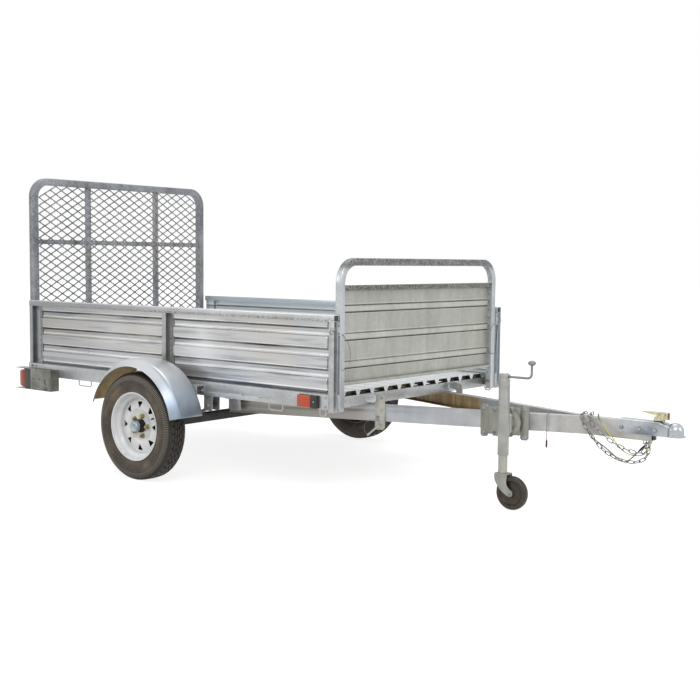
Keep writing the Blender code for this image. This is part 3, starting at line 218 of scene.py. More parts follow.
def smoothPath(route, spacing):                      # evenly spaced points on a curve through a route
    route = [Vector(p) for p in route]
    fine = []
    for i in range(len(route) - 1):
        before = route[max(i - 1, 0)]
        after = route[min(i + 2, len(route) - 1)]
        leave = route[i] + (route[i + 1] - before) / 6
        reach = route[i + 1] - (after - route[i]) / 6
        fine += interpolate_bezier(route[i], leave, reach, route[i + 1], 24)[:-1]
    fine.append(route[-1])
    total = sum((b - a).length for a, b in zip(fine, fine[1:]))
    count = max(2, round(total / spacing))
    points = [fine[0]]
    walked = 0.0
    for a, b in zip(fine, fine[1:]):
        length = (b - a).length
        while len(points) < count and walked + length >= total * len(points) / count:
            points.append(a.lerp(b, (total * len(points) / count - walked) / length))
        walked += length
    points.append(fine[-1])
    return points


# Shader maths: a Flow is one socket with arithmetic, a Coat is one material
class Flow:
    def __init__(self, coat, socket):
        self.coat = coat
        self.socket = socket

    def maths(self, operation, first, second=None):
        inputs = {0: first} if second is None else {0: first, 1: second}
        return self.coat.add("Math", {"operation": operation}, inputs)

    def __add__(self, other):
        return self.maths("ADD", self, other)

    def __radd__(self, other):
        return self.maths("ADD", other, self)

    def __sub__(self, other):
        return self.maths("SUBTRACT", self, other)

    def __rsub__(self, other):
        return self.maths("SUBTRACT", other, self)

    def __mul__(self, other):
        return self.maths("MULTIPLY", self, other)

    def __rmul__(self, other):
        return self.maths("MULTIPLY", other, self)

    def wave(self):
        return self.maths("SINE", self)

    def size(self):
        return self.maths("ABSOLUTE", self)


class Coat:
    def __init__(self, name):
        self.material = bpy.data.materials.new(name)
        self.material.use_nodes = True
        self.tree = self.material.node_tree
        self.shader = self.tree.nodes["Principled BSDF"]
        self.place = self.add("TexCoord", output="Object")

    def feed(self, socket, value):
        if isinstance(value, Flow):
            self.tree.links.new(value.socket, socket)
        else:
            socket.default_value = value

    def add(self, kind, settings=None, inputs=None, output=0):
        made = self.tree.nodes.new("ShaderNode" + kind)
        for key, value in (settings or {}).items():
            if key == "stops":
                ramp = made.color_ramp
                while len(ramp.elements) < len(value):
                    ramp.elements.new(0.5)
                for element, (position, colour) in zip(ramp.elements, value):
                    element.position = position
                    element.color = (*colour, 1)
            else:
                setattr(made, key, value)
        for key, value in (inputs or {}).items():
            self.feed(made.inputs[key], value)
        return Flow(self, made.outputs[output])

    def stretched(self, scale):                      # the object's place, scaled by axis
        return self.add("VectorMath", {"operation": "MULTIPLY"}, {0: self.place, 1: scale})

    def noise(self, scale, detail=3.0, stretch=None):
        where = self.stretched(stretch) if stretch else self.place
        return self.add("TexNoise", None, {"Vector": where, "Scale": scale, "Detail": detail})

    def axis(self, name):
        return self.add("SeparateXYZ", None, {0: self.place}, name)

    def band(self, value, low, high):                # 0 below low, 1 above high; a value or an axis
        if isinstance(value, str):
            value = self.axis(value)
        return self.add("MapRange", {"interpolation_type": "SMOOTHSTEP"},
                        {0: value, 1: low, 2: high})

    def under(self, value, low, high):               # 1 below low, 0 above high
        return 1.0 - self.band(value, low, high)

    def mixed(self, mask, first, second, blend="MIX"):
        pair = [c if isinstance(c, Flow) else (*c, 1) for c in (first, second)]
        return self.add("Mix", {"data_type": "RGBA", "blend_type": blend, "clamp_factor": True},
                        {0: mask, 6: pair[0], 7: pair[1]}, 2)

    def raised(self, height, strength, distance):
        return self.add("Bump", None, {"Height": height, "Strength": strength,
                                       "Distance": distance})

    def set(self, **values):                         # sockets by name, spaces written as _
        for key, value in values.items():
            self.feed(self.shader.inputs[key.replace("_", " ")], value)
        return self.material


# Hot-dip zinc: crystals, cloudy patches, runs and a dulled film
def zincCoat(name, values, finish=None):
    coat = Coat(name)
    bend = coat.noise(9.0, 2.0)
    moved = coat.add("VectorMath", {"operation": "MULTIPLY_ADD"},
                     {0: coat.add("CombineXYZ", None, {0: bend, 1: bend, 2: bend}),
                      1: (0.03, 0.03, 0.03), 2: coat.place})
    cells = coat.add("TexVoronoi", {"feature": "F1"}, {"Vector": moved, "Scale": values["crystal"]},
                     "Color")
    crystal = coat.add("SeparateColor", None, {0: cells}, 0)
    cloud = coat.noise(values["cloud"], 4.0)
    runs = coat.noise(1.0, 4.0, values["runs"])
    fine = coat.noise(420.0, 2.0)
    tone = (crystal - 0.5) * values["crystalDepth"] + (cloud - 0.5) * values["cloudDepth"]
    tone = tone + (runs - 0.5) * values["runDepth"] + 0.5
    colour = coat.mixed(tone, values["dark"], values["light"])
    warm = coat.band(coat.noise(2.2, 3.0), 0.45, 0.68) * values["warmth"]
    colour = coat.mixed(warm, colour, values["warm"])
    if finish:
        colour = finish(coat, colour)
    shade = values["shade"]
    colour = coat.mixed(1.0, colour, (shade, shade, shade * 1.006), "MULTIPLY")
    rough = values["rough"] + (crystal - 0.5) * 0.03 + (cloud - 0.5) * 0.22
    height = fine * 0.15 + runs * 0.8
    coats[name] = coat.set(Base_Color=colour, Roughness=rough, Metallic=values["metal"],
                           Normal=coat.raised(height, values["bump"], 0.0006))


zincUsual = dict(crystal=95.0, cloud=6.0, runs=(20.0, 20.0, 8.0), crystalDepth=0.3, cloudDepth=1.3,
                 runDepth=0.9, warm=(0.62, 0.6, 0.54), warmth=0.35, rough=0.4, metal=0.55, bump=0.3,
                 shade=0.75)
zincRows = {
    "zincFrame": dict(cloud=7.0, runs=(10.0, 10.0, 2.5), cloudDepth=1.5, runDepth=1.1,
        dark=(0.28, 0.3, 0.32), light=(0.74, 0.76, 0.78), warm=(0.56, 0.54, 0.49), metal=0.62,
        bump=0.35),
    "zincCap": dict(crystal=90.0, runs=(4.0, 12.0, 30.0), cloudDepth=1.0, runDepth=1.4,
        dark=(0.42, 0.425, 0.42), light=(0.76, 0.77, 0.77), rough=0.38),
    "zincRamp": dict(runs=(10.0, 10.0, 3.0), crystalDepth=0.35, runDepth=1.0, dark=(0.14, 0.15, 0.165),
        light=(0.5, 0.52, 0.55), warm=(0.42, 0.41, 0.38), metal=0.6, bump=0.35),
    "zincHoop": dict(cloud=8.0, runs=(12.0, 12.0, 3.0), crystalDepth=0.25, cloudDepth=1.0, runDepth=1.0,
        dark=(0.5, 0.53, 0.56), light=(0.86, 0.89, 0.91), warmth=0.3, rough=0.34, metal=0.62,
        bump=0.25),
    "zincWall": dict(crystal=60.0, cloud=3.0, runs=(1.6, 1.6, 30.0), crystalDepth=0.0, cloudDepth=0.7,
        runDepth=1.3, dark=(0.56, 0.565, 0.56), light=(0.92, 0.925, 0.92), warm=(0.76, 0.71, 0.63),
        warmth=0.45, rough=0.32, metal=0.62, bump=0.1),
    "zincGate": dict(crystal=55.0, cloud=4.0, runs=(10.0, 26.0, 2.4), crystalDepth=0.16, cloudDepth=0.7,
        runDepth=0.8, dark=(0.38, 0.39, 0.35), light=(0.76, 0.77, 0.7), warm=(0.62, 0.61, 0.53),
        warmth=0.5, rough=0.38, bump=0.2),
    "zincFender": dict(crystal=42.0, cloud=5.0, runs=(5.0, 12.0, 5.0), crystalDepth=0.1, cloudDepth=1.0,
        runDepth=0.7, dark=(0.46, 0.5, 0.56), light=(0.84, 0.88, 0.94), warm=(0.62, 0.61, 0.58),
        warmth=0.25, rough=0.36, metal=0.66, bump=0.1),
    "zincFloor": dict(crystal=50.0, cloud=4.0, runs=(2.0, 18.0, 10.0), crystalDepth=0.1, cloudDepth=0.9,
        runDepth=0.8, dark=(0.84, 0.86, 0.87), light=(1.0, 1.0, 1.0), warm=(0.72, 0.69, 0.63),
        warmth=0.2, shade=0.96, rough=0.36, metal=0.25, bump=0.2),
    "zincLattice": dict(crystal=120.0, cloudDepth=1.4, dark=(0.17, 0.18, 0.19), light=(0.5, 0.51, 0.51),
        warm=(0.38, 0.37, 0.33), warmth=0.4, rough=0.42, metal=0.6),
    "zincRail": dict(crystal=70.0, cloud=5.0, runs=(3.0, 12.0, 10.0), crystalDepth=0.22, cloudDepth=1.2,
        dark=(0.44, 0.46, 0.475), light=(0.84, 0.85, 0.86), warm=(0.62, 0.61, 0.56), rough=0.36,
        bump=0.25),
    "zincCross": dict(crystal=80.0, runs=(10.0, 3.0, 12.0), runDepth=0.8, dark=(0.56, 0.58, 0.6),
        light=(0.88, 0.9, 0.92), warm=(0.56, 0.53, 0.45), metal=0.6, bump=0.25),
    "zincBeam": dict(crystal=75.0, cloud=7.0, runs=(18.0, 18.0, 3.0), crystalDepth=0.15, cloudDepth=1.9,
        runDepth=1.2, dark=(0.42, 0.42, 0.41), light=(0.8, 0.8, 0.79), warm=(0.62, 0.58, 0.48),
        warmth=0.45),
    "zincSmooth": dict(crystal=60.0, cloud=9.0, runs=(8.0, 12.0, 12.0), crystalDepth=0.1,
        cloudDepth=1.7, runDepth=0.6, dark=(0.17, 0.2, 0.235), light=(0.8, 0.83, 0.87),
        warm=(0.58, 0.57, 0.53), warmth=0.25, rough=0.3, metal=0.75, bump=0.15),
    "zincPlate": dict(crystal=90.0, runs=(16.0, 16.0, 2.0), crystalDepth=0.08, cloudDepth=0.9,
        dark=(0.2, 0.2, 0.16), light=(0.58, 0.58, 0.53), warm=(0.34, 0.33, 0.24), warmth=0.6,
        rough=0.34, bump=0.05),
    "zincLatch": dict(crystal=110.0, cloud=14.0, dark=(0.44, 0.43, 0.38), light=(0.8, 0.79, 0.73),
        warm=(0.58, 0.53, 0.4), warmth=0.5, rough=0.38, metal=0.5),
    "zincBracket": dict(crystal=90.0, cloud=12.0, runs=(14.0, 14.0, 5.0), crystalDepth=0.2,
        runDepth=1.0, dark=(0.09, 0.09, 0.07), light=(0.44, 0.44, 0.39), warm=(0.42, 0.4, 0.3),
        warmth=0.4, rough=0.38, metal=0.5, bump=0.25),
    "chainZinc": dict(crystal=200.0, cloud=90.0, runs=(40.0, 40.0, 40.0), crystalDepth=0.2,
        cloudDepth=2.4, runDepth=0.6, dark=(0.02, 0.02, 0.02), light=(0.44, 0.45, 0.48),
        warm=(0.42, 0.37, 0.29), warmth=0.4, rough=0.3, bump=0.2),
}


def beamStreaksAndShade(coat, colour):                          # brown streaks inside the drawbar's channels, painted shade in them and under the bed
    outer = (along(barValues["bend"]) - coat.axis("X")) * barValues["slope"] + barValues["noseHalf"]
    inside = coat.band(outer - coat.axis("Y").size(), 0.0012, 0.0030)
    below = coat.under("Z", 0.4100, 0.4125)
    behind = coat.under("X", along(2.36), along(2.46))
    streaks = coat.band(coat.noise(1.0, 4.0, (26.0, 26.0, 5.0)), 0.30, 0.62)
    brownStreaks = coat.mixed(streaks, (0.56, 0.45, 0.24), (0.34, 0.22, 0.09))
    cool = coat.under("X", along(2.52), along(2.76)) * 0.45
    colour = coat.mixed(cool, colour, (0.66, 0.71, 0.82))
    # painted shade: tan under the bed
    under = coat.under("X", along(2.08), along(2.26))
    colour = coat.mixed(under * 0.65, colour, (0.50, 0.44, 0.35))
    # painted shade: darker grey inside the channels, below their top
    colour = coat.mixed(inside * below * 0.7, colour, (0.42, 0.43, 0.46))
    return coat.mixed(inside * below * behind, colour, brownStreaks)


def creaseHighlightsAndShade(coat, colour, values):
    # painted highlights and shade along the bends of each rib, by the height above its middle
    half = values["pitch"] / 2
    height = coat.add("Math", {"operation": "WRAP"}, {0: coat.axis("Z"), 1: values["first"] + half,
                                                     2: values["first"] - half})
    share = (height - (values["first"] - half)) * (1.0 / values["pitch"])
    stops = [((place + half) / values["pitch"], (grey, grey, grey)) for place, grey in values["lines"]]
    lines = coat.add("ValToRGB", {"stops": stops}, {"Fac": share}, "Color")
    patchy = coat.band(coat.noise(1.0, 3.0, (4.0, 4.0, 12.0)), 0.25, 0.65) * 0.45 + 0.55
    return coat.mixed(patchy, colour, lines, "LINEAR_LIGHT")


# bands of painted highlight and shade: height from a rib's middle, grey (0.5 leaves the colour)
wallCreaseLightValues = {"first": 0.5845, "pitch": 0.0935, "lines": (
    (-0.0467, 0.50), (-0.0245, 0.50), (-0.0222, 0.30), (-0.0205, 0.36), (-0.0190, 0.70),
    (-0.0120, 0.74), (-0.0095, 0.56), (-0.0040, 0.52), (-0.0015, 0.34), (0.0012, 0.47),
    (0.0080, 0.44), (0.0100, 0.24), (0.0140, 0.18), (0.0165, 0.34), (0.0180, 0.66),
    (0.0222, 0.68), (0.0245, 0.50), (0.0467, 0.50))}
gateCreaseLightValues = {"first": 0.6170, "pitch": 0.1265, "lines": (
    (-0.0632, 0.50), (-0.0245, 0.50), (-0.0228, 0.58), (-0.0205, 0.58), (-0.0190, 0.20),
    (-0.0160, 0.16), (-0.0140, 0.42), (-0.0100, 0.56), (0.0100, 0.57), (0.0128, 0.52),
    (0.0145, 0.28), (0.0172, 0.28), (0.0188, 0.55), (0.0225, 0.60), (0.0250, 0.50), (0.0632, 0.50))}


def insideFaces(coat):                               # 1 on faces that look into the load space
    facing = coat.add("TexCoord", output="Normal")
    outward = coat.add("SeparateXYZ", None, {0: facing}, "Y") * coat.axis("Y")
    return coat.under(outward, -0.45, -0.15)


def wallToneAndLight(coat, colour):                        # duller towards the rear, painted glare by the fender, painted light on the inside faces
    x, z = coat.axis("X"), coat.axis("Z")
    rear = coat.under(x, along(0.05), along(1.10)) * 0.70
    colour = coat.mixed(rear, colour, (0.42, 0.39, 0.35))
    cool = coat.under(z, 0.53, 0.70) * 0.40
    colour = coat.mixed(cool, colour, (0.72, 0.755, 0.81))
    streak = coat.band(coat.noise(1.0, 4.0, (2.4, 2.4, 44.0)), 0.50, 0.66) * 0.65
    colour = coat.mixed(streak, colour, (0.36, 0.40, 0.44))
    far = (x - along(1.40)).size() + (z - 0.632).size() * 1.6 + coat.noise(5.0) * 0.16
    glare = coat.under(far, 0.13, 0.36)
    colour = coat.mixed(glare * 0.85, colour, (0.97, 0.98, 1.0))
    # painted light: faces into the load space lighter and bluer
    colour = coat.mixed(insideFaces(coat) * 0.7, colour, (0.86, 0.95, 1.0))
    # painted highlights and shade along the ribs
    colour = creaseHighlightsAndShade(coat, colour, wallCreaseLightValues)
    ragged = x + coat.noise(1.0, 3.0, (40.0, 40.0, 70.0)) * 0.012 - 0.006
    for first in (0.0970, 1.1853):                   # shadowed strip beside each post
        strip = coat.under((ragged - along(first - 0.0085)).size(), 0.0080, 0.0130)
        colour = coat.mixed(strip * 0.8, colour, (0.13, 0.135, 0.14))
    return colour


def gateFoldAndCreaseLight(coat, colour):                        # the panel's dark speckled upper fold, painted highlights and shade along its ribs
    top = coat.band("Z", 0.9500, 0.9535)
    specks = coat.band(coat.noise(150.0, 3.0), 0.40, 0.58)
    fold = coat.mixed(specks, (0.10, 0.10, 0.085), (0.34, 0.34, 0.30))
    return coat.mixed(top, creaseHighlightsAndShade(coat, colour, gateCreaseLightValues), fold)


def capSpecksAndLight(coat, colour):                         # dark specks along the cap's lower edge, painted light on its inside faces, a painted highlight along its top
    z = coat.axis("Z")
    low = coat.band(z, 0.8150, 0.8175) * coat.under(z, 0.8235, 0.8290)
    specks = coat.band(coat.noise(1.0, 4.0, (60.0, 60.0, 240.0)), 0.46, 0.60)
    colour = coat.mixed(low * specks * 0.8, colour, (0.16, 0.155, 0.14))
    rear = coat.under("X", along(0.40), along(1.60))
    colour = coat.mixed(rear * 0.65, colour, (0.33, 0.345, 0.36))
    # painted light: faces into the load space lighter and bluer
    colour = coat.mixed(insideFaces(coat) * 0.75, colour, (0.74, 0.88, 0.95))
    # painted highlight along the top edge
    edge = coat.band(z, 0.8405, 0.8432)
    return coat.mixed(edge * 0.7, colour, (0.93, 0.94, 0.95))


def fenderShadeAndHighlight(coat, colour):                      # painted shade, bluer, down the front and on its lip; a painted highlight on the crown
    front = coat.band("X", along(1.22), along(1.42))
    low = coat.under("Z", 0.34, 0.56)
    drift = coat.band(coat.noise(5.0, 3.0), 0.40, 0.60) * 0.7 + 0.3
    colour = coat.mixed(front * low * drift * 0.9, colour, (0.27, 0.35, 0.46))
    # painted highlight: the crown lighter
    crown = coat.band("Z", 0.47, 0.56) * 0.75
    colour = coat.mixed(crown, colour, (0.95, 0.975, 0.985))
    # painted shade on the front of the lip
    rise = coat.axis("Y").size()
    lip = coat.band(rise, 0.9050, 0.9080) * coat.under(rise, 0.9120, 0.9200)
    return coat.mixed(lip * front * 0.55, colour, (0.24, 0.30, 0.40))


def hoopFinish(coat, colour):                        # the upper bar weathers darker
    dark = coat.band("Z", 1.035, 1.068)
    specks = coat.band(coat.noise(90.0, 4.0), 0.38, 0.62)
    weathered = coat.mixed(specks, (0.08, 0.08, 0.085), (0.30, 0.30, 0.30))
    return coat.mixed(dark * 0.85, colour, weathered)


def crossFinish(coat, colour):                       # grey specks
    specks = coat.band(coat.noise(80.0, 4.0), 0.45, 0.62)
    return coat.mixed(specks * 0.25, colour, (0.30, 0.31, 0.31))


def hubBarrelShade(coat, colour):                         # painted shade: the barrel behind the cap is nearly black
    barrel = coat.under(coat.axis("Y").size(), 0.8980, 0.9020)
    return coat.mixed(barrel, colour, (0.018, 0.017, 0.016))


finishes = {"zincBeam": beamStreaksAndShade, "zincWall": wallToneAndLight, "zincGate": gateFoldAndCreaseLight,
            "zincCap": capSpecksAndLight, "zincFender": fenderShadeAndHighlight, "zincHoop": hoopFinish,
            "zincCross": crossFinish, "hubPaint": hubBarrelShade}
for coatName, row in zincRows.items():
    zincCoat(coatName, {**zincUsual, **row}, finishes.get(coatName))


# Paints, plating, rubber and plastics: a base colour that drifts, dust and a fine grain
def plainCoat(name, values, finish=None):
    coat = Coat(name)
    drift = coat.noise(values["scale"], 4.0)
    grain = coat.noise(values["grain"], 2.0)
    colour = coat.mixed(coat.band(drift, 0.30, 0.72), values["dark"], values["light"])
    if "dust" in values:
        dust = coat.band(coat.noise(14.0, 5.0), 0.46, 0.80) * values["dustDepth"]
        colour = coat.mixed(dust, colour, values["dust"])
    if finish:
        colour = finish(coat, colour)
    rough = values["rough"] + (drift - 0.5) * values["roughDrift"]
    coats[name] = coat.set(Base_Color=colour, Roughness=rough, Metallic=values["metal"],
                           Coat_Weight=values["gloss"], Coat_Roughness=0.12,
                           Normal=coat.raised(grain, values["bump"], 0.0004))


plainUsual = dict(scale=60.0, grain=300.0, rough=0.34, roughDrift=0.3, metal=0.0, bump=0.1,
                  dustDepth=0.4, gloss=0.0)
plainRows = {
    "yellowZinc": dict(grain=700.0, dark=(0.22, 0.18, 0.06), light=(0.48, 0.41, 0.19), metal=0.85,
        bump=0.12, dust=(0.55, 0.5, 0.42)),
    "creamZinc": dict(scale=70.0, grain=500.0, dark=(0.46, 0.41, 0.24), light=(0.74, 0.7, 0.52),
        rough=0.32, metal=0.6, dust=(0.3, 0.25, 0.15)),
    "brightZinc": dict(scale=45.0, grain=600.0, dark=(0.2, 0.205, 0.21), light=(0.48, 0.49, 0.5),
        metal=0.5),
    # the fenders' inner skin: dust and a painted warm reflection of the ground
    "fenderInner": dict(scale=9.0, grain=260.0, dark=(0.34, 0.23, 0.095), light=(0.66, 0.5, 0.26),
        rough=0.46, roughDrift=0.25, metal=0.3, bump=0.2, dust=(0.6, 0.52, 0.38)),
    # painted shade: the floor's lower skin, nearly black
    "floorUnder": dict(scale=12.0, grain=260.0, dark=(0.05, 0.042, 0.034), light=(0.12, 0.1, 0.08),
        rough=0.55, roughDrift=0.2, metal=0.2, bump=0.2),
    "crankSteel": dict(scale=30.0, dark=(0.12, 0.125, 0.13), light=(0.27, 0.28, 0.29), roughDrift=0.25,
        metal=0.6),
    "jackPaint": dict(scale=14.0, dark=(0.36, 0.36, 0.34), light=(0.5, 0.5, 0.475), rough=0.36,
        roughDrift=0.2, metal=0.35, gloss=0.2, dust=(0.46, 0.42, 0.35), dustDepth=0.3),
    "forkPaint": dict(scale=22.0, dark=(0.29, 0.29, 0.265), light=(0.41, 0.41, 0.38), rough=0.4,
        roughDrift=0.25, metal=0.35, bump=0.05, dust=(0.36, 0.32, 0.25)),
    "knobZinc": dict(scale=50.0, grain=500.0, dark=(0.16, 0.16, 0.155), light=(0.34, 0.34, 0.33),
        rough=0.42, roughDrift=0.2, metal=0.3, bump=0.08),
    "darkWire": dict(grain=500.0, dark=(0.1, 0.1, 0.1), light=(0.3, 0.29, 0.27), rough=0.4, metal=0.7),
    "blackSteel": dict(scale=20.0, dark=(0.022, 0.021, 0.02), light=(0.06, 0.056, 0.052), rough=0.5,
        metal=0.2, bump=0.3, dust=(0.16, 0.14, 0.12), dustDepth=0.5),
    "blackPlastic": dict(scale=30.0, grain=500.0, dark=(0.016, 0.015, 0.014),
        light=(0.035, 0.033, 0.031), rough=0.48, bump=0.3),
    "redPlastic": dict(grain=500.0, dark=(0.055, 0.01, 0.02), light=(0.13, 0.02, 0.032), rough=0.42,
        roughDrift=0.2, bump=0.2),
    "greySheath": dict(grain=400.0, dark=(0.2, 0.2, 0.195), light=(0.34, 0.34, 0.33), rough=0.5,
        roughDrift=0.2, bump=0.2),
    "casterTread": dict(scale=30.0, grain=420.0, dark=(0.014, 0.008, 0.003),
        light=(0.042, 0.025, 0.011), rough=0.4, roughDrift=0.25, bump=0.2, dust=(0.13, 0.1, 0.07),
        dustDepth=0.3),
    "zincLeg": dict(scale=12.0, dark=(0.4, 0.395, 0.355), light=(0.52, 0.515, 0.47), roughDrift=0.1,
        metal=0.35, bump=0.02),
    "hubPaint": dict(scale=30.0, dark=(0.22, 0.26, 0.3), light=(0.5, 0.56, 0.62), rough=0.3,
        roughDrift=0.25, metal=0.65, bump=0.15),
}
for coatName, row in plainRows.items():
    plainCoat(coatName, {**plainUsual, **row}, finishes.get(coatName))


wheelValues = {"axle": 1.160, "y": 0.864, "radius": 0.2655, "steps": 360, "ribEdges":
               ((0.0050, 0.0085), (0.0205, 0.0245)), "grooveDepth": 0.0060, "lugDepth": 0.0042,
               "shoulder": 0.0022, "nuts": 5, "nutCircle": 0.052}


def axleDistance(coat):                              # from the line through both wheels' middles
    moved = coat.add("VectorMath", {"operation": "MULTIPLY_ADD"},
                     {0: coat.place, 1: (1.0, 0.0, 1.0),
                      2: (-along(wheelValues["axle"]), 0.0, -wheelValues["radius"])})
    return coat.add("VectorMath", {"operation": "LENGTH"}, {0: moved}, "Value")


# Tyre: dusty brown-grey side walls with moulded rings, lighter teeth round the shoulder and painted shade between them
def tyreCoat():
    coat = Coat("rubber")
    far = axleDistance(coat)
    drift = coat.noise(26.0, 4.0)
    grain = coat.noise(420.0, 2.0)
    colour = coat.mixed(coat.band(drift, 0.30, 0.72), (0.028, 0.021, 0.015), (0.060, 0.046, 0.033))
    dust = coat.band(coat.noise(11.0, 5.0), 0.42, 0.74)
    wall = coat.under(far, 0.2400, 0.2520)
    colour = coat.mixed(dust * wall * 0.75, colour, (0.200, 0.150, 0.098))
    outer = coat.band(far, 0.2300, 0.2400)
    colour = coat.mixed(outer * 0.8, colour, (0.022, 0.018, 0.014))
    rings = (far * 620.0).wave() * 0.5 + 0.5
    ringed = coat.band(far, 0.205, 0.212) * coat.under(far, 0.236, 0.242)
    colour = coat.mixed(rings * ringed * 0.6, colour, (0.022, 0.018, 0.014))
    across = coat.axis("X") - along(wheelValues["axle"])
    above = coat.axis("Z") - wheelValues["radius"]
    turn = coat.add("Math", {"operation": "ARCTAN2"}, {0: across, 1: above})
    teeth = coat.band((turn * (wheelValues["steps"] / 2) + pi / 2).wave(), -0.25, 0.25)
    toothed = coat.band(far, 0.2260, 0.2300) * coat.under(far, 0.2500, 0.2540)
    colour = coat.mixed(teeth * toothed * 0.8, colour, (0.230, 0.195, 0.150))
    # painted shade in the gaps between the teeth
    colour = coat.mixed((1.0 - teeth) * toothed * 0.85, colour, (0.012, 0.010, 0.009))
    bead = coat.under(far, 0.1600, 0.1690)
    colour = coat.mixed(bead * 0.8, colour, (0.016, 0.013, 0.011))
    deep = coat.under(far, 0.2585, 0.2625)
    crown = coat.band(far, 0.2540, 0.2560)
    colour = coat.mixed(crown * deep * 0.9, colour, (0.012, 0.010, 0.009))
    worn = coat.band(far, 0.2632, 0.2650)
    colour = coat.mixed(worn * 0.6, colour, (0.042, 0.036, 0.030))
    rough = 0.62 + (drift - 0.5) * 0.25
    coats["rubber"] = coat.set(Base_Color=colour, Roughness=rough,
                               Normal=coat.raised(grain + rings * ringed * 0.6, 0.35, 0.0006))


# Rim: white paint outside the disc with dust, painted shade on its inner side and in the corners
def rimCoat():
    coat = Coat("whitePaint")
    far = axleDistance(coat)
    out = coat.axis("Y").size()
    drift = coat.noise(16.0, 4.0)
    colour = coat.mixed(coat.band(drift, 0.30, 0.72), (0.82, 0.825, 0.83), (0.92, 0.92, 0.93))
    # painted shade in the corners near the barrel
    corner = coat.band(far, 0.126, 0.1335) * coat.under(far, 0.1360, 0.1420)
    corner = corner * coat.under(out, 0.876, 0.890)
    colour = coat.mixed(corner * 0.5, colour, (0.42, 0.42, 0.44))
    bead = coat.band(far, 0.1572, 0.1590) * coat.under(far, 0.1610, 0.1640)
    colour = coat.mixed(bead * 0.35, colour, (0.50, 0.50, 0.51))
    dust = coat.band(coat.noise(14.0, 5.0), 0.46, 0.80) * 0.22
    colour = coat.mixed(dust, colour, (0.60, 0.57, 0.52))
    # painted shade: the inner side nearly black
    inner = coat.under(out, 0.8655, 0.8685)
    colour = coat.mixed(inner, colour, (0.055, 0.050, 0.047))
    coats["whitePaint"] = coat.set(Base_Color=colour, Roughness=0.30 + (drift - 0.5) * 0.2,
                                   Coat_Weight=0.35, Coat_Roughness=0.12,
                                   Normal=coat.raised(coat.noise(240.0, 2.0), 0.08, 0.0004))


tyreCoat()
rimCoat()


# Moulded lenses: fine upright flutes crossed by a few level ones, deeper colour in the hollows, a faint painted glow
def lensCoat(name, deep, bright):
    coat = Coat(name)
    upright = (coat.axis("X") * 1100.0).wave() * 0.5 + 0.5
    level = (coat.axis("Z") * 700.0).wave() * 0.5 + 0.5
    pattern = upright * 0.6 + level * 0.4
    colour = coat.mixed(pattern, deep, bright)
    # faint painted glow from the emission
    coats[name] = coat.set(Base_Color=colour, Roughness=0.26 + pattern * 0.12, Coat_Weight=0.15,
                           Coat_Roughness=0.06, Emission_Color=colour, Emission_Strength=0.03,
                           Normal=coat.raised(pattern, 0.4, 0.0008))


lensCoat("redLens", (0.13, 0.005, 0.002), (0.50, 0.045, 0.014))
lensCoat("amberLens", (0.36, 0.028, 0.006), (0.78, 0.115, 0.030))


# Earth lead: green sheath with a yellow stripe wound along it
def stripedSheath():
    coat = Coat("stripedSheath")
    turn = coat.axis("X") * 190.0 + coat.axis("Z") * 240.0 + coat.noise(20.0) * 2.0
    stripe = coat.band(turn.wave(), -0.15, 0.15)
    colour = coat.mixed(stripe, (0.06, 0.16, 0.04), (0.62, 0.56, 0.08))
    coats["stripedSheath"] = coat.set(Base_Color=colour, Roughness=0.48 + stripe * 0.04)


stripedSheath()
print("materials made:", len(coats))


# Mesh helpers
def loft(rings, closed=False, mesh=None):
    mesh = mesh or bmesh.new()
    rows = [[mesh.verts.new(point) for point in ring] for ring in rings]
    count = len(rows[0])
    pairs = list(zip(rows, rows[1:]))
    if closed:
        pairs.append((rows[-1], rows[0]))
    for first, second in pairs:
        for i in range(count):
            j = (i + 1) % count
            mesh.faces.new((first[i], first[j], second[j], second[i]))
    if not closed:
        mesh.faces.new(list(reversed(rows[0])))
        mesh.faces.new(rows[-1])
    return mesh


def prism(outline, start, end, axis, mesh=None):     # an outline drawn out along one axis
    def put(a, b, c):
        return {"X": (c, a, b), "Y": (a, c, b), "Z": (a, b, c)}[axis]
    return loft([[put(a, b, c) for a, b in outline] for c in (start, end)], mesh=mesh)


def block(x, y, z, mesh=None):
    return prism([(x[0], y[0]), (x[1], y[0]), (x[1], y[1]), (x[0], y[1])], z[0], z[1], "Z", mesh)


def frameOf(axis):                                   # two directions square to an axis
    axis = Vector(axis).normalized()
    guide = Vector((0, 0, 1)) if abs(axis.z) < 0.9 else Vector((1, 0, 0))
    across = axis.cross(guide).normalized()
    return axis, across, across.cross(axis)


def turned(centre, axis, profile, count=32, closed=False, mesh=None):
    axis, across, up = frameOf(axis)
    rings = []
    for place, radius in profile:
        rings.append([Vector(centre) + axis * place
                      + across * radius * sin(2 * pi * i / count)
                      + up * radius * cos(2 * pi * i / count) for i in range(count)])
    return loft(rings, closed, mesh)


def rod(start, end, radius, count=20, mesh=None):    # a round bar with softened ends
    length = (Vector(end) - Vector(start)).length
    soft = min(radius * 0.15, length / 3)
    profile = ((0, radius - soft), (soft, radius), (length - soft, radius), (length, radius - soft))
    return turned(start, Vector(end) - Vector(start), profile, count, mesh=mesh)


def swept(points, radius, count=12, closed=False, mesh=None):
    points = [Vector(p) for p in points]
    total = len(points)
    rings = []
    across = None
    for i, point in enumerate(points):
        before = points[i - 1] if (closed or i) else points[i]
        after = points[(i + 1) % total] if (closed or i < total - 1) else points[i]
        step = (after - before).normalized()
        if across is None:
            across = frameOf(step)[1]
        across = (across - step * across.dot(step)).normalized()
        up = across.cross(step)
        rings.append([point + across * radius * cos(2 * pi * k / count)
                      + up * radius * sin(2 * pi * k / count) for k in range(count)])
    return loft(rings, closed, mesh)


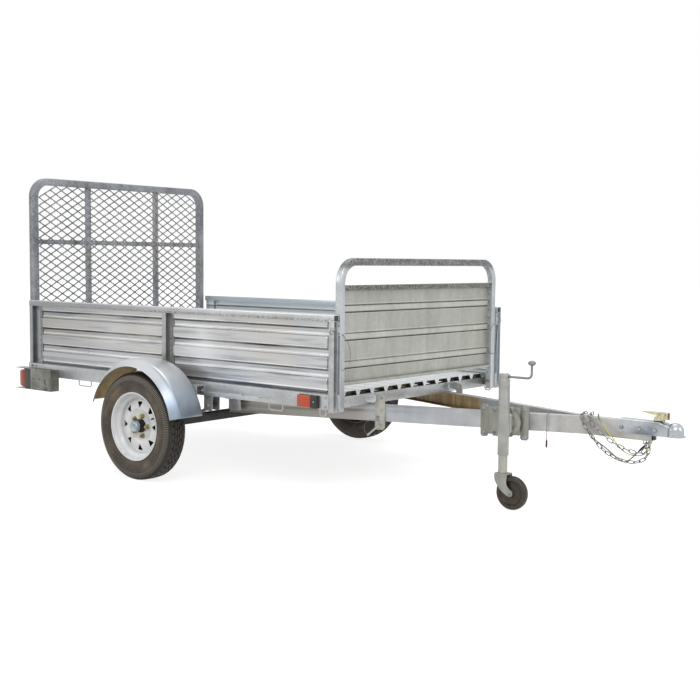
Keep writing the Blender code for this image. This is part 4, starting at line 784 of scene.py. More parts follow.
def hexagon(centre, axis, across, height, mesh=None, turn=0.0):
    axis, right, up = frameOf(axis)
    radius = across / sqrt(3)
    rings = []
    for place, share in ((0, 1.0), (height * 0.8, 1.0), (height, 0.86)):
        rings.append([Vector(centre) + axis * place + right * radius * share * sin(pi * k / 3 + turn)
                      + up * radius * share * cos(pi * k / 3 + turn) for k in range(6)])
    return loft(rings, mesh=mesh)


def bolt(place, axis, size, mesh, proud=0.0):
    # size is the thread's diameter; the head stands on a washer, the shank's end may stand proud
    axis = Vector(axis).normalized()
    place = Vector(place)
    rod(place, place + axis * size * 0.18, size * 1.05, 20, mesh)
    place += axis * size * 0.18
    hexagon(place, axis, size * 1.6, size * 0.62, mesh, chance.uniform(0, 1))
    if proud:
        rod(place, place + axis * (size * 0.62 + proud), size * 0.48, 14, mesh)


def openSheet(rows):                                 # an open sheet through rows of points
    mesh = bmesh.new()
    made = [[mesh.verts.new(point) for point in row] for row in rows]
    for first, second in zip(made, made[1:]):
        for i in range(len(first) - 1):
            mesh.faces.new((first[i], first[i + 1], second[i + 1], second[i]))
    return mesh


def fromMesh(name, mesh, coat=None):
    data = bpy.data.meshes.new(name)
    mesh.to_mesh(data)
    mesh.free()
    return linked(name, data, coat)


def settle(made):                                    # applies what modifiers a piece has
    depsgraph = bpy.context.evaluated_depsgraph_get()
    fresh = bpy.data.meshes.new_from_object(made.evaluated_get(depsgraph))
    old = made.data
    made.modifiers.clear()
    made.data = fresh
    bpy.data.meshes.remove(old)


def rounded(made, width, angle=30):                  # edges sharper than the angle are rounded
    edge = made.modifiers.new("edges", "BEVEL")
    edge.width = width
    edge.segments = 2
    edge.limit_method = "ANGLE"
    edge.angle_limit = radians(angle)
    settle(made)


def shaded(made, angle):                             # smooth, with creases past the angle
    made.data.shade_smooth()
    made.data.set_sharp_from_angle(angle=radians(angle))


def carve(made, cutter, operation="DIFFERENCE"):     # a Boolean of a piece with a bmesh
    bmesh.ops.recalc_face_normals(cutter, faces=cutter.faces)
    tool = fromMesh("cutter", cutter)
    change = made.modifiers.new("cut", "BOOLEAN")
    change.operation = operation
    change.solver = "EXACT"
    change.object = tool
    settle(made)
    shape = tool.data
    bpy.data.objects.remove(tool)
    bpy.data.meshes.remove(shape)


slotOf = {"yellowZinc": "zinc", "creamZinc": "zinc", "brightZinc": "zinc", "crankSteel": "grey_paint",
          "jackPaint": "grey_paint", "forkPaint": "grey_paint", "knobZinc": "zinc",
          "darkWire": "dark_steel", "zincLeg": "zinc", "zincLatch": "zinc",
          "whitePaint": "white_paint", "blackSteel": "dark_steel", "rubber": "tyre",
          "casterTread": "rubber", "blackPlastic": "black_plastic", "redLens": "red_lens",
          "amberLens": "amber_lens", "stripedSheath": "lead_sheath", "greySheath": "grey_sheath",
          "redPlastic": "red_plastic", "hubPaint": "grey_paint"}


def finished(made, coat, body, stands):              # its body, the solids it stands for, its slot
    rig.ride(made, body)
    for node in stands:
        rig.replaces(made, node)
    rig.slot(made, slotOf.get(coat, "galvanised"))
    return made


def piece(name, mesh, coat, body, smooth=35, stands=(), bevel=0.0):
    bmesh.ops.remove_doubles(mesh, verts=mesh.verts, dist=1e-6)
    bmesh.ops.recalc_face_normals(mesh, faces=mesh.faces)
    made = fromMesh(name, mesh, coat)
    if bevel:
        rounded(made, bevel)
    if smooth:
        shaded(made, smooth)
    return finished(made, coat, body, stands)


def soften(node, coat, width, cutter=None):          # a CAD node's copy with rounded edges
    mesh = bmesh.new()
    mesh.from_mesh(nodes[node].data)
    bmesh.ops.remove_doubles(mesh, verts=mesh.verts, dist=1e-5)
    bmesh.ops.dissolve_limit(mesh, angle_limit=radians(1.5), verts=mesh.verts, edges=mesh.edges)
    made = fromMesh(node + "_rounded", mesh, coat)
    if cutter:
        carve(made, cutter)
    rounded(made, width)
    shaded(made, 35)
    return finished(made, coat, nodes[node]["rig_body"], (node,))


# Leads, on the same routes as their solids
leadValues = {
    "ground": {"thick": 0.0045, "coat": "stripedSheath", "end": "object", "stiffness": "medium",
               "route": (
        (0.057, -0.006, 0.4133), (0.057, -0.006, 0.420), (0.059, -0.014, 0.428),
        (0.064, -0.027, 0.428), (0.071, -0.040, 0.420), (0.082, -0.050, 0.407),
        (0.106, -0.062, 0.386), (0.133, -0.070, 0.362), (0.161, -0.074, 0.336),
        (0.183, -0.076, 0.312), (0.206, -0.076, 0.292), (0.233, -0.073, 0.279),
        (0.263, -0.064, 0.275), (0.289, -0.053, 0.281), (0.304, -0.042, 0.296),
        (0.307, -0.030, 0.312), (0.306, -0.025, 0.324), (0.306, -0.025, 0.3357))},
    "harness": {"thick": 0.0055, "coat": "greySheath", "end": "plug", "stiffness": "medium",
                "route": (
        (0.021, 0.0, 0.3357), (0.021, 0.0, 0.327), (0.029, 0.0, 0.315), (0.051, 0.0, 0.303),
        (0.086, 0.0, 0.283), (0.126, 0.0, 0.256), (0.156, 0.0, 0.236), (0.171, 0.001, 0.230),
        (0.186, 0.001, 0.231), (0.202, 0.002, 0.241), (0.224, 0.003, 0.262),
        (0.242, 0.004, 0.281))},
    "short": {"thick": 0.0032, "coat": "greySheath", "end": "connector", "stiffness": "limp",
              "place": 2.975, "route": (
        (-0.0043, 0.375), (-0.012, 0.375), (-0.030, 0.377), (-0.043, 0.386), (-0.047, 0.402),
        (-0.041, 0.4155), (-0.024, 0.4180), (-0.002, 0.4185), (0.009, 0.414), (0.013, 0.402),
        (0.012, 0.375), (0.011, 0.350), (0.011, 0.322), (0.011, 0.302))},
}
bend = barValues["bend"]
spacing, straight = 2.5, 0.7                         # in thicknesses: guide points, straight ends


def leadPoints(values):
    if "place" in values:
        route = [onBar(values["place"], 0, out, z) for out, z in values["route"]]
    else:
        route = [(along(bend + x), y, z) for x, y, z in values["route"]]
    thick = values["thick"]
    points = smoothPath(route, thick * spacing)
    for index, end, near in ((1, route[0], route[1]), (-1, route[-1], route[-2])):
        step = (Vector(near) - Vector(end)).normalized()
        points.insert(index, Vector(end) + step * thick * straight)
    return smoothPath(points, thick)


def makeLead(kind, values, withPieces):
    name = kind + "_wire"
    thick = values["thick"]
    points = leadPoints(values)
    data = bpy.data.curves.new(name, "CURVE")
    data.dimensions = "3D"
    spline = data.splines.new("POLY")
    spline.points.add(len(points) - 1)
    for knot, point in zip(spline.points, points):
        knot.co = (*point, 1)
    data.bevel_depth = thick / 2
    data.bevel_resolution = 4
    data.use_fill_caps = True
    made = finished(linked(name, data, values["coat"]), values["coat"], "drawbar", (kind + "_lead",))
    length = sum((b - a).length for a, b in zip(points, points[1:]))
    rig.cord(made, exit=points[0], length=length, diameter=thick, far_end=values["end"],
            stiffness=values["stiffness"], lay="hanging", with_pieces=withPieces)
    print(name, "length", round(length, 4))


# moulded plug: a ribbed body that narrows to the lead, with two blades under a shroud
plugStart = Vector((along(bend + 0.242), 0.004, 0.281))
plugStep = (plugStart - Vector((along(bend + 0.224), 0.003, 0.262))).normalized()
plugWide = Vector((0, 1, 0))
plugUp = plugWide.cross(plugStep).normalized()
plugRings = []
for place, wide, thick in ((0.0004, 0.0036, 0.0032), (0.003, 0.0040, 0.0035), (0.0035, 0.0034, 0.0030),
                           (0.0055, 0.0034, 0.0030), (0.006, 0.0042, 0.0036),
                           (0.0085, 0.0044, 0.0038), (0.009, 0.0038, 0.0033),
                           (0.0110, 0.0040, 0.0034), (0.0115, 0.0058, 0.0043),
                           (0.0300, 0.0059, 0.0044), (0.0305, 0.0050, 0.0038),
                           (0.0440, 0.0049, 0.0037)):
    ring = []
    for i in range(16):
        turn = 2 * pi * (i + 0.5) / 16
        a = max(-1, min(1, 1.3 * cos(turn)))
        b = max(-1, min(1, 1.3 * sin(turn)))
        ring.append(plugStart + plugStep * place + plugWide * wide * a + plugUp * thick * b)
    plugRings.append(ring)
plug = piece("harness_plug_body", loft(plugRings), "blackPlastic", "drawbar",
             stands=("harness_plug",))

connectorTop = onBar(leadValues["short"]["place"], 0, 0.011, 0.3017)
connectorMesh = turned(connectorTop, (0, 0, -1), (
    (0.0, 0.0022), (0.004, 0.0026), (0.0045, 0.0040), (0.0120, 0.0044), (0.0125, 0.0038),
    (0.0150, 0.0038), (0.0155, 0.0044), (0.0280, 0.0044), (0.0300, 0.0038), (0.0358, 0.0036)), 20)
connector = piece("lead_connector_body", connectorMesh, "redPlastic", "drawbar",
                  stands=("lead_connector",))

for kind, carried in (("ground", []), ("harness", [plug]), ("short", [connector])):
    makeLead(kind, leadValues[kind], carried)
print("leads laid")


# Floor, backdrop and lamps: the camera sees a floor and a world that are white
stageValues = {"floor": (0.40, 0.40, 0.40), "floorGlow": 0.82, "world": 0.50}


def litBy(tree, target, off, on):                    # on where it is seen or mirrored, off where it lights
    path = tree.nodes.new("ShaderNodeLightPath")
    last = path.outputs["Is Camera Ray"]
    for name in ("Is Glossy Ray", "Is Transmission Ray"):
        joined = tree.nodes.new("ShaderNodeMath")
        joined.operation = "MAXIMUM"
        tree.links.new(last, joined.inputs[0])
        tree.links.new(path.outputs[name], joined.inputs[1])
        last = joined.outputs[0]
    level = tree.nodes.new("ShaderNodeMapRange")
    level.inputs[3].default_value = off
    level.inputs[4].default_value = on
    tree.links.new(last, level.inputs[0])
    tree.links.new(level.outputs[0], target)


def makeStage(values):
    floor = fromMesh("studioFloor", block((-40, 40), (-40, 40), (-0.02, 0.0)))
    coat = Coat("studioFloor")
    coat.set(Base_Color=(*values["floor"], 1), Roughness=0.9, Emission_Color=(1, 1, 1, 1))
    litBy(coat.tree, coat.shader.inputs["Emission Strength"], 0.0, values["floorGlow"])
    floor.data.materials.append(coat.material)
    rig.stage(floor)
    world = bpy.data.worlds.new("studio")
    bpy.context.scene.world = world
    world.use_nodes = True
    background = world.node_tree.nodes["Background"]
    background.inputs["Color"].default_value = (1, 1, 1, 1)
    litBy(world.node_tree, background.inputs["Strength"], values["world"], 1.0)


makeStage(stageValues)

# name, place, aim, width, height, watts
lampRows = (
    ("keyLamp", (3.2, -4.2, 4.6), (0.2, 0.0, 0.5), 3.2, 2.4, 130),
    ("sideLamp", (-3.6, -4.4, 2.6), (-0.4, 0.0, 0.5), 2.6, 2.0, 40),
    ("frontLamp", (5.6, 0.6, 2.6), (0.8, 0.0, 0.6), 2.0, 2.0, 40),
    ("topLamp", (0.0, 1.2, 5.0), (0.0, 0.0, 0.4), 3.6, 3.0, 80),
)
for name, place, aim, width, height, watts in lampRows:
    data = bpy.data.lights.new(name, "AREA")
    data.shape = "RECTANGLE"
    data.size = width
    data.size_y = height
    data.energy = watts
    lamp = linked(name, data)
    lamp.location = place
    lamp.rotation_euler = (Vector(aim) - Vector(place)).to_track_quat("-Z", "Y").to_euler()
bpy.context.scene.view_settings.view_transform = "Standard"
print("stage set")


# Bed side walls: sheets with raised fields that end before the posts
bedValues = {"length": 2.250, "half": 0.700, "wallTop": 0.846, "railTop": 0.491,
             "capHeight": 0.030, "face": 0.672, "sheet": 0.002}
fieldValues = {"rows": ((0.5005, 0.5630), (0.6050, 0.6570), (0.6990, 0.7500), (0.7920, 0.8400)),
               "bevel": 0.0078, "corner": 0.018, "depth": 0.0138, "bead": (0.5270, 0.5400, 0.0030)}


def easeStep(value):
    value = max(0.0, min(1.0, value))
    return value * value * (3 - 2 * value)


def fieldHeight(z, place, values, first, last):
    # raised fields with rounded corners, sunken ribs between them, a low step in the lowest field
    best = 0.0
    for low, high in values["rows"]:
        halfLong, halfTall = (last - first) / 2, (high - low) / 2 + values["bevel"]
        corner = values["corner"]
        overLong = abs(place - (first + last) / 2) - (halfLong - corner)
        overTall = abs(z - (low + high) / 2) - (halfTall - corner)
        away = sqrt(max(overLong, 0) ** 2 + max(overTall, 0) ** 2) + min(max(overLong, overTall), 0)
        best = max(best, easeStep((corner - away) / values["bevel"]))
    low, high, step = values["bead"]
    drop = step * (1 - easeStep((z - low) / (high - low))) if z < high + 0.01 else 0.0
    return best * (values["depth"] - drop)


def fieldSheet(values, low, high, start, end, first, last, put):
    heights = {low, high}
    for row in values["rows"]:
        for edge, sign in ((row[0], -1), (row[1], 1)):
            for share in (-1.6, -0.8, -0.2, 0.0, 0.15, 0.3, 0.5, 0.7, 0.85, 1.0, 1.2, 1.8):
                heights.add(round(edge + sign * share * values["bevel"], 5))
    for i in range(5):
        heights.add(round(values["bead"][0] + (values["bead"][1] - values["bead"][0]) * i / 4, 5))
    heights = sorted(z for z in heights if low <= z <= high)
    places = {start, end}
    for edge, sign in ((first, 1), (last, -1)):
        for i in range(14):
            places.add(round(edge + sign * 0.0022 * i, 5))
    for i in range(1, 24):
        places.add(round(first + 0.03 + (last - first - 0.06) * i / 24, 5))
    return openSheet([[put(x, fieldHeight(z, x, values, first, last), z) for z in heights]
                      for x in sorted(places)])


def ribHeight(z, place, values, first, last):
    # how far a panel's ribs stand out at a height and a place along it
    run = min(easeStep((place - first) / values["runOut"]),
              easeStep((last - place) / values["runOut"]))
    best = 0.0
    for centre in values["middles"]:
        distance = abs(z - centre)
        foot = values["head"] + (values["foot"] - values["head"]) * (0.75 + 0.25 * run)
        best = max(best, easeStep((foot - distance) / (foot - values["head"])))
    return best * values["depth"] * run


def ribbedSheet(values, low, high, start, end, first, last, put):
    heights = [low, high]
    for centre in values["middles"]:
        for share in (-1.25, -1.0, -0.9, -0.8, -0.7, -0.6, -0.5, -0.25, 0.0, 0.25, 0.5, 0.6, 0.7,
                      0.8, 0.9, 1.0, 1.25):
            z = centre + share * values["foot"]
            if low < z < high:
                heights.append(z)
    heights = sorted(set(round(z, 5) for z in heights))
    places = {start, end}
    for edge, sign in ((first, 1), (last, -1)):
        for i in range(9):
            places.add(edge + sign * values["runOut"] * i / 8)
    inner = first + values["runOut"]
    span = last - values["runOut"] - inner
    for i in range(1, 12):
        places.add(inner + span * i / 12)
    return openSheet([[put(x, ribHeight(z, x, values, first, last), z) for z in heights]
                      for x in sorted(places)])


def thicken(mesh, direction, depth):                 # gives an open sheet its other skin and edges
    skin = list(mesh.faces)
    grown = bmesh.ops.extrude_face_region(mesh, geom=skin)
    moved = [item for item in grown["geom"] if isinstance(item, bmesh.types.BMVert)]
    bmesh.ops.translate(mesh, verts=moved, vec=Vector(direction) * depth)
    return mesh


split = bedValues["length"] / 2 - 0.0005
for label, side in sides:
    for part, start, end, flats in (("rear", 0.012, split - 0.0003, (0.085, 0.010)),
                                    ("front", split + 0.0003, 2.2173, (0.060, 0.010))):
        sheet = fieldSheet(fieldValues, bedValues["railTop"] + 0.0003,
                           bedValues["wallTop"] - bedValues["capHeight"] - 0.0003, start, end,
                           start + flats[0], end - flats[1],
                           lambda x, out, z: (along(x), side * (bedValues["face"] + out), z))
        thicken(sheet, (0, -side, 0), bedValues["sheet"])
        piece("wall_sheet_%s_%s" % (part, label), sheet, "zincWall", "bed", 32,
              ("side_panel_%s_%s" % (part, label),))
print("walls pressed")


# Wheels: tyre with its ribs and lugs, spoke rim with eight windows, nuts and dust cap
tyreProfile = ((0.0463, 0.1610), (0.0510, 0.1690), (0.0562, 0.1780), (0.0568, 0.1800),
               (0.0590, 0.1830), (0.0612, 0.1890), (0.0618, 0.1950), (0.0632, 0.2000),
               (0.0632, 0.2090), (0.0626, 0.2150), (0.0632, 0.2180), (0.0622, 0.2280),
               (0.0604, 0.2370), (0.0602, 0.2400), (0.0560, 0.2500), (0.0520, 0.2560),
               (0.0480, 0.2602), (0.0440, 0.2625), (0.0400, 0.2636))


def treadRadius(place, values):
    return values["radius"] - 0.0019 * (abs(place) / 0.040) ** 2.2


def treadDepth(place, step, values):
    # grooves run round the tyre, notches cross the ribs between them
    across = abs(place)
    for low, high in values["ribEdges"]:
        if low <= across <= high:
            return values["grooveDepth"]
    if across > 0.0245:
        return values["lugDepth"] if (step + (4 if place > 0 else 0)) % 8 in (0, 1) else 0.0
    if across > 0.0085:
        return values["lugDepth"] if (step + (4 if place > 0 else 0)) % 8 in (3, 4) else 0.0
    return values["lugDepth"] if step % 8 in (6, 7) else 0.0


def makeTyre(name, centre, side, values, node):
    crown = [0.0372, 0.0345, 0.0310, 0.0275, 0.0247, 0.0243, 0.0207, 0.0203, 0.0170, 0.0130,
             0.0087, 0.0083, 0.0052, 0.0048, 0.0015]
    rows = [(p, r, False) for p, r in tyreProfile] + [(p, None, True) for p in crown]
    rows += [(-p, r, t) for p, r, t in reversed(rows)]
    rings = []
    for step in range(values["steps"]):
        turn = 2 * pi * step / values["steps"]
        ring = []
        for place, radius, tread in rows:
            r = treadRadius(place, values) - treadDepth(place, step, values) if tread else radius
            y = place
            if not tread and r > 0.2400 and step % 2:    # fine teeth round the shoulder
                y -= values["shoulder"] * (1 if place > 0 else -1) * min(1.0, (r - 0.2400) / 0.006)
                r -= values["shoulder"] * max(0.0, (r - 0.2500) / 0.0136)
            ring.append(centre + Vector((r * sin(turn), side * y, r * cos(turn))))
        rings.append(ring)
    piece(name, loft(rings, True), "rubber", "wheel_" + name.split("_")[-1], 42, (node,))


rimProfile = ((0.0560, 0.1665), (0.0556, 0.1690), (0.0535, 0.1697), (0.0520, 0.1688),
              (0.0505, 0.1640), (0.0490, 0.1605), (0.0465, 0.1590), (0.0330, 0.1572),
              (0.0285, 0.1540), (0.0220, 0.1430), (0.0180, 0.1408), (-0.0180, 0.1408),
              (-0.0220, 0.1430), (-0.0290, 0.1545), (-0.0465, 0.1590), (-0.0490, 0.1605),
              (-0.0505, 0.1640), (-0.0520, 0.1688), (-0.0556, 0.1690), (-0.0560, 0.1660),
              (-0.0520, 0.1610), (-0.0460, 0.1560), (-0.0330, 0.1525), (-0.0240, 0.1400),
              (-0.0190, 0.1375), (0.0020, 0.1375), (0.0020, 0.1340), (0.0035, 0.1290),
              (0.0075, 0.1180), (0.0110, 0.1000), (0.0112, 0.0880), (0.0085, 0.0800),
              (0.0020, 0.0730), (0.0020, 0.0345), (0.0062, 0.0345), (0.0066, 0.0520),
              (0.0070, 0.0700), (0.0125, 0.0790), (0.0155, 0.0880), (0.0155, 0.1000),
              (0.0118, 0.1190), (0.0078, 0.1310), (0.0090, 0.1350), (0.0185, 0.1368),
              (0.0235, 0.1395), (0.0330, 0.1520), (0.0470, 0.1548), (0.0515, 0.1580),
              (0.0548, 0.1630))


def rimWindows(centre, side):
    # rounded triangles, their points towards the hub
    mesh = bmesh.new()
    corners = ((0.0865, 0.0, 0.005), (0.1225, -0.165, 0.006), (0.1225, 0.165, 0.006))
    for i in range(8):
        base = 2 * pi * i / 8
        flat = [Vector((r * sin(base + t), r * cos(base + t))) for r, t, _ in corners]
        outline = []
        for k, point in enumerate(flat):
            toLast = (flat[k - 1] - point).normalized()
            toNext = (flat[(k + 1) % 3] - point).normalized()
            soft = corners[k][2]
            for share in (0.0, 0.25, 0.5, 0.75, 1.0):
                a = point + toLast * soft * (1 - share) ** 1.5
                b = point + toNext * soft * share ** 1.5
                outline.append(a + b - point)
        loft([[centre + Vector((p.x, side * depth, p.y)) for p in outline]
              for depth in (-0.012, 0.028)], mesh=mesh)
    return mesh


for label, side in sides:
    centre = Vector((along(wheelValues["axle"]), side * wheelValues["y"], wheelValues["radius"]))
    body = "wheel_" + label
    makeTyre("tyre_tread_" + label, centre, side, wheelValues, "tyre_" + label)
    rim = piece("rim_spoked_" + label, turned(centre, (0, side, 0), rimProfile, 96, True),
                "whitePaint", body, 0, ("rim_" + label,))
    carve(rim, rimWindows(centre, side))
    shaded(rim, 38)
    # hub with its dust cap, drawn in where it meets the flange
    hub = turned(centre, (0, side, 0), (
        (-0.078, 0.029), (-0.076, 0.030), (-0.012, 0.033), (-0.010, 0.064), (-0.008, 0.0655),
        (0.0012, 0.0655), (0.0017, 0.0650), (0.0017, 0.0338), (0.010, 0.0338), (0.018, 0.0334),
        (0.022, 0.0318), (0.024, 0.0284), (0.028, 0.0278), (0.046, 0.0274), (0.052, 0.0262),
        (0.056, 0.0225), (0.0578, 0.016), (0.058, 0.0060), (0.0562, 0.0045), (0.0560, 0.0005)), 48)
    piece("hub_cap_" + label, hub, "hubPaint", body, 32, ("hub_" + label,))
    nuts = bmesh.new()
    for i in range(wheelValues["nuts"]):
        turn = 2 * pi * (i + 0.25) / wheelValues["nuts"]
        at = centre + Vector((wheelValues["nutCircle"] * sin(turn), side * 0.0066,
                              wheelValues["nutCircle"] * cos(turn)))
        turned(at, (0, side, 0), ((0, 0.0125), (0.004, 0.0105), (0.0045, 0.0095)), 20, mesh=nuts)
        hexagon(at + Vector((0, side * 0.0042, 0)), (0, side, 0), 0.0190, 0.0135, nuts, turn)
        rod(at, at + Vector((0, side * 0.0225, 0)), 0.0056, 14, nuts)
    piece("lug_nuts_" + label, nuts, "yellowZinc", body, 32)
    shield = turned(centre, (0, side, 0), (
        (-0.0100, 0.0700), (-0.0085, 0.0700), (-0.0085, 0.1260), (-0.0060, 0.1320),
        (-0.0075, 0.1330), (-0.0100, 0.1270)), 48, True)
    piece("dust_shield_" + label, shield, "blackSteel", body, 40)
    # valve stem beside one of the windows
    turn = radians(68)
    foot = centre + Vector((0.1330 * sin(turn), side * 0.0090, 0.1330 * cos(turn)))
    valve = turned(foot, Vector((-0.35 * sin(turn), side, -0.35 * cos(turn))), (
        (0, 0.0070), (0.003, 0.0075), (0.006, 0.0050), (0.018, 0.0042), (0.019, 0.0036),
        (0.022, 0.0036), (0.0225, 0.0046), (0.031, 0.0046), (0.033, 0.0040)), 16)
    piece("valve_stem_" + label, valve, "blackPlastic", body, 35)
print("wheels made")


# Fenders: rolled sheet with a crease and a lip turned down on the outside
fenderValues = {"start": 12, "end": 161, "steps": 72, "sheet": 0.0024, "stay": 0.247}
fenderProfile = ((0.0520, 0.3080), (0.0522, 0.3150), (0.0535, 0.3200), (0.0565, 0.3232),
                 (0.0640, 0.3262), (0.0900, 0.3306), (0.1200, 0.3326), (0.1500, 0.3332),
                 (0.1880, 0.3330), (0.2035, 0.3326), (0.2065, 0.3320), (0.2090, 0.3306),
                 (0.2115, 0.3284), (0.2240, 0.3170), (0.2360, 0.3060), (0.2410, 0.3022),
                 (0.2440, 0.3006), (0.2456, 0.2992), (0.2459, 0.2976))
for label, side in sides:
    rows = []
    for i in range(fenderValues["steps"] + 1):
        turn = radians(fenderValues["start"] + (fenderValues["end"] - fenderValues["start"])
                       * i / fenderValues["steps"])
        rows.append([(along(wheelValues["axle"]) + r * cos(turn), side * (bedValues["half"] + out),
                      wheelValues["radius"] + r * sin(turn)) for out, r in fenderProfile])
    sheet = openSheet(rows)
    bmesh.ops.recalc_face_normals(sheet, faces=sheet.faces)
    # the wheel's centre is behind every face, which tells the skin's outer side
    hub = Vector((along(wheelValues["axle"]), side * 0.85, wheelValues["radius"]))
    if sum((f.calc_center_median() - hub).dot(f.normal) for f in sheet.faces) < 0:
        bmesh.ops.reverse_faces(sheet, faces=sheet.faces)
    fender = piece("fender_rolled_" + label, sheet, "zincFender", "bed", 0)
    if sum((f.center - hub).dot(f.normal) for f in fender.data.polygons) < 0:
        fender.data.flip_normals()
    # the inner skin takes the painted warm reflection
    fender.data.materials.append(coats["fenderInner"])
    shell = fender.modifiers.new("shell", "SOLIDIFY")
    shell.thickness = fenderValues["sheet"]
    shell.offset = -1
    shell.material_offset = 1
    rounded(fender, 0.0008, 60)
    shaded(fender, 40)
    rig.replaces(fender, "fender_" + label)
    # stays welded to the fender and bolted to the rail
    stays = bmesh.new()
    bolts = bmesh.new()
    for x in (wheelValues["axle"] - fenderValues["stay"], wheelValues["axle"] + fenderValues["stay"]):
        near, far = 0.7003, 0.7530
        outline = [(near, 0.430), (near + 0.004, 0.430), (near + 0.004, 0.470), (far - 0.004, 0.470),
                   (far - 0.004, 0.432), (far, 0.432), (far, 0.478), (near, 0.478)]
        prism([(side * y, z) for y, z in outline], along(x - 0.025), along(x + 0.025), "X", stays)
        for shift in (-0.014, 0.014):
            bolt((along(x + shift), side * (near + 0.004), 0.448), (0, side, 0), 0.0075, bolts, 0.004)
    piece("fender_stays_" + label, stays, "zincFrame", "bed", 30, bevel=0.0012)
    piece("fender_bolts_" + label, bolts, "brightZinc", "bed", 32)
print("fenders rolled")


# Hoops of the two gates: square tube with rounded edges, bent at the corners
def archPoints(half, foot, top, corner, steps):
    points = [((-half, foot), (-1.0, 0.0)), ((-half, top - corner - 0.001), (-1.0, 0.0))]
    for i in range(steps + 1):
        turn = pi / 2 * i / steps
        points.append(((-half + corner - corner * cos(turn), top - corner + corner * sin(turn)),
                       (-cos(turn), sin(turn))))
    for i in range(steps + 1):
        turn = pi / 2 * (1 - i / steps)
        points.append(((half - corner + corner * cos(turn), top - corner + corner * sin(turn)),
                       (cos(turn), sin(turn))))
    points += [((half, top - corner - 0.001), (1.0, 0.0)), ((half, foot), (1.0, 0.0))]
    return points


def tubeSection(wide, deep, radius):
    # a rounded rectangle from 0 inward to wide, and to both sides of the middle
    points = []
    near, far, level = -radius, -wide + radius, deep / 2 - radius
    for start, (a, b) in enumerate(((near, level), (far, level), (far, -level), (near, -level))):
        for i in range(4):
            turn = pi / 2 * (start + i / 3)
            points.append((a + radius * cos(turn), b + radius * sin(turn)))
    return points


def hoopMesh(values, x):
    section = tubeSection(values["face"], values["deep"], values["edge"])
    rings = []
    for (y, z), (outY, outZ) in archPoints(values["half"], values["foot"], values["top"],
                                           values["corner"], 20):
        rings.append([(x + b, y + outY * a, z + outZ * a) for a, b in section])
    return loft(rings)


frontHoopValues = {"half": 0.650, "foot": 0.411, "top": 1.098, "corner": 0.115, "face": 0.034,
                   "deep": 0.032, "edge": 0.0045, "pin": (0.66, 0.60, 0.455), "punched": 12}
rampHoopValues = {"half": 0.661, "foot": 0.430, "top": 1.539, "corner": 0.110, "face": 0.040,
                  "deep": 0.040, "edge": 0.0050, "pin": (0.67, 0.59, 0.462), "punched": 0}
frontX = along(2.230)
rampX = along(-0.026)


def makeHoop(gate, node, coat, x, values):
    hoop = piece(gate + "_tube", hoopMesh(values, x), coat, gate, 32, (node,))
    holes = bmesh.new()
    start, end, z = values["pin"]                    # the hinge pin's hole in each foot
    for side in (-1, 1):
        rod((x, side * start, z), (x, side * end, z), 0.0086, 20, holes)
        for i in range(values["punched"]):           # punched row on the tubes' inner faces
            up = 0.500 + 0.0415 * i
            rod((x - 0.004, side * 0.625, up), (x - 0.004, side * 0.610, up), 0.0045, 12, holes)
    carve(hoop, holes)
    shaded(hoop, 32)


makeHoop("front_gate", "front_gate_hoop", "zincHoop", frontX, frontHoopValues)
makeHoop("ramp_gate", "ramp_gate_frame", "zincRamp", rampX, rampHoopValues)
bars = bmesh.new()
inside = rampHoopValues["half"] - rampHoopValues["face"]
for low, high in ((0.478, 0.510), (1.164, 1.190)):
    section = [(rampX + b, (low + high) / 2 + a + (high - low) / 2)
               for a, b in tubeSection(high - low, 0.028, 0.003)]
    loft([[(x, y, z) for x, z in section] for y in (-inside - 0.001, inside + 0.001)], mesh=bars)
for y in (-0.396 * 0.661, 0.396 * 0.661):
    section = [(rampX + b, y + a + 0.014) for a, b in tubeSection(0.028, 0.026, 0.003)]
    loft([[(x, b, z) for x, b in section] for z in (0.508, 1.500)], mesh=bars)
piece("ramp_gate_bars", bars, "zincRamp", "ramp_gate", 32)
print("hoops bent")


# Ramp gate's expanded metal: every strand twists a little between its knuckles
latticeValues = {"wide": 0.0765, "tall": 0.0462, "half": 0.0034, "depth": 0.0030,
                 "low": 0.5125, "high": 1.4963, "side": 0.6172, "corner": 0.066}


def makeLattice(values):
    mesh = bmesh.new()
    face = rampX + 0.0143
    columns = round(2 * values["side"] / (values["wide"] / 2))
    rows = round((values["high"] - values["low"]) / (values["tall"] / 2))
    stepY = 2 * values["side"] / columns
    stepZ = (values["high"] - values["low"]) / rows

    def kept(y, z):
        overY = abs(y) - (values["side"] - values["corner"])
        overZ = z - (values["high"] - values["corner"])
        return overY < 0 or overZ < 0 or sqrt(overY ** 2 + overZ ** 2) < values["corner"] + 1e-6

    for i in range(columns + 1):
        for k in range(rows + 1):
            if (i + k) % 2:
                continue
            start = Vector((face, -values["side"] + i * stepY, values["low"] + k * stepZ))
            if not kept(start.y, start.z):
                continue
            for di in (-1, 1):
                if not 0 <= i + di <= columns or k + 1 > rows:
                    continue
                end = start + Vector((0, di * stepY, stepZ))
                if not kept(end.y, end.z):
                    continue
                run = (end - start)
                step = run.normalized()
                across = Vector((1, 0, 0)).cross(step)
                rings = []
                for share, wide, lean in ((-0.045, 0.8, 0.0), (0.08, 1.15, 0.25), (0.5, 0.9, 0.45),
                                          (0.92, 1.15, 0.25), (1.045, 0.8, 0.0)):
                    middlePoint = start + run * share
                    tilt = across * cos(lean) + Vector((1, 0, 0)) * sin(lean) * di
                    deep = step.cross(tilt).normalized()
                    if deep.x < 0:
                        deep = -deep
                    front = middlePoint + Vector((values["depth"] / 2 + 0.0004, 0, 0))
                    w = tilt * values["half"] * wide
                    d = deep * values["depth"] / 2
                    rings.append([front + w + d, front - w + d, front - w - d, front + w - d])
                loft(rings, mesh=mesh)
    return mesh


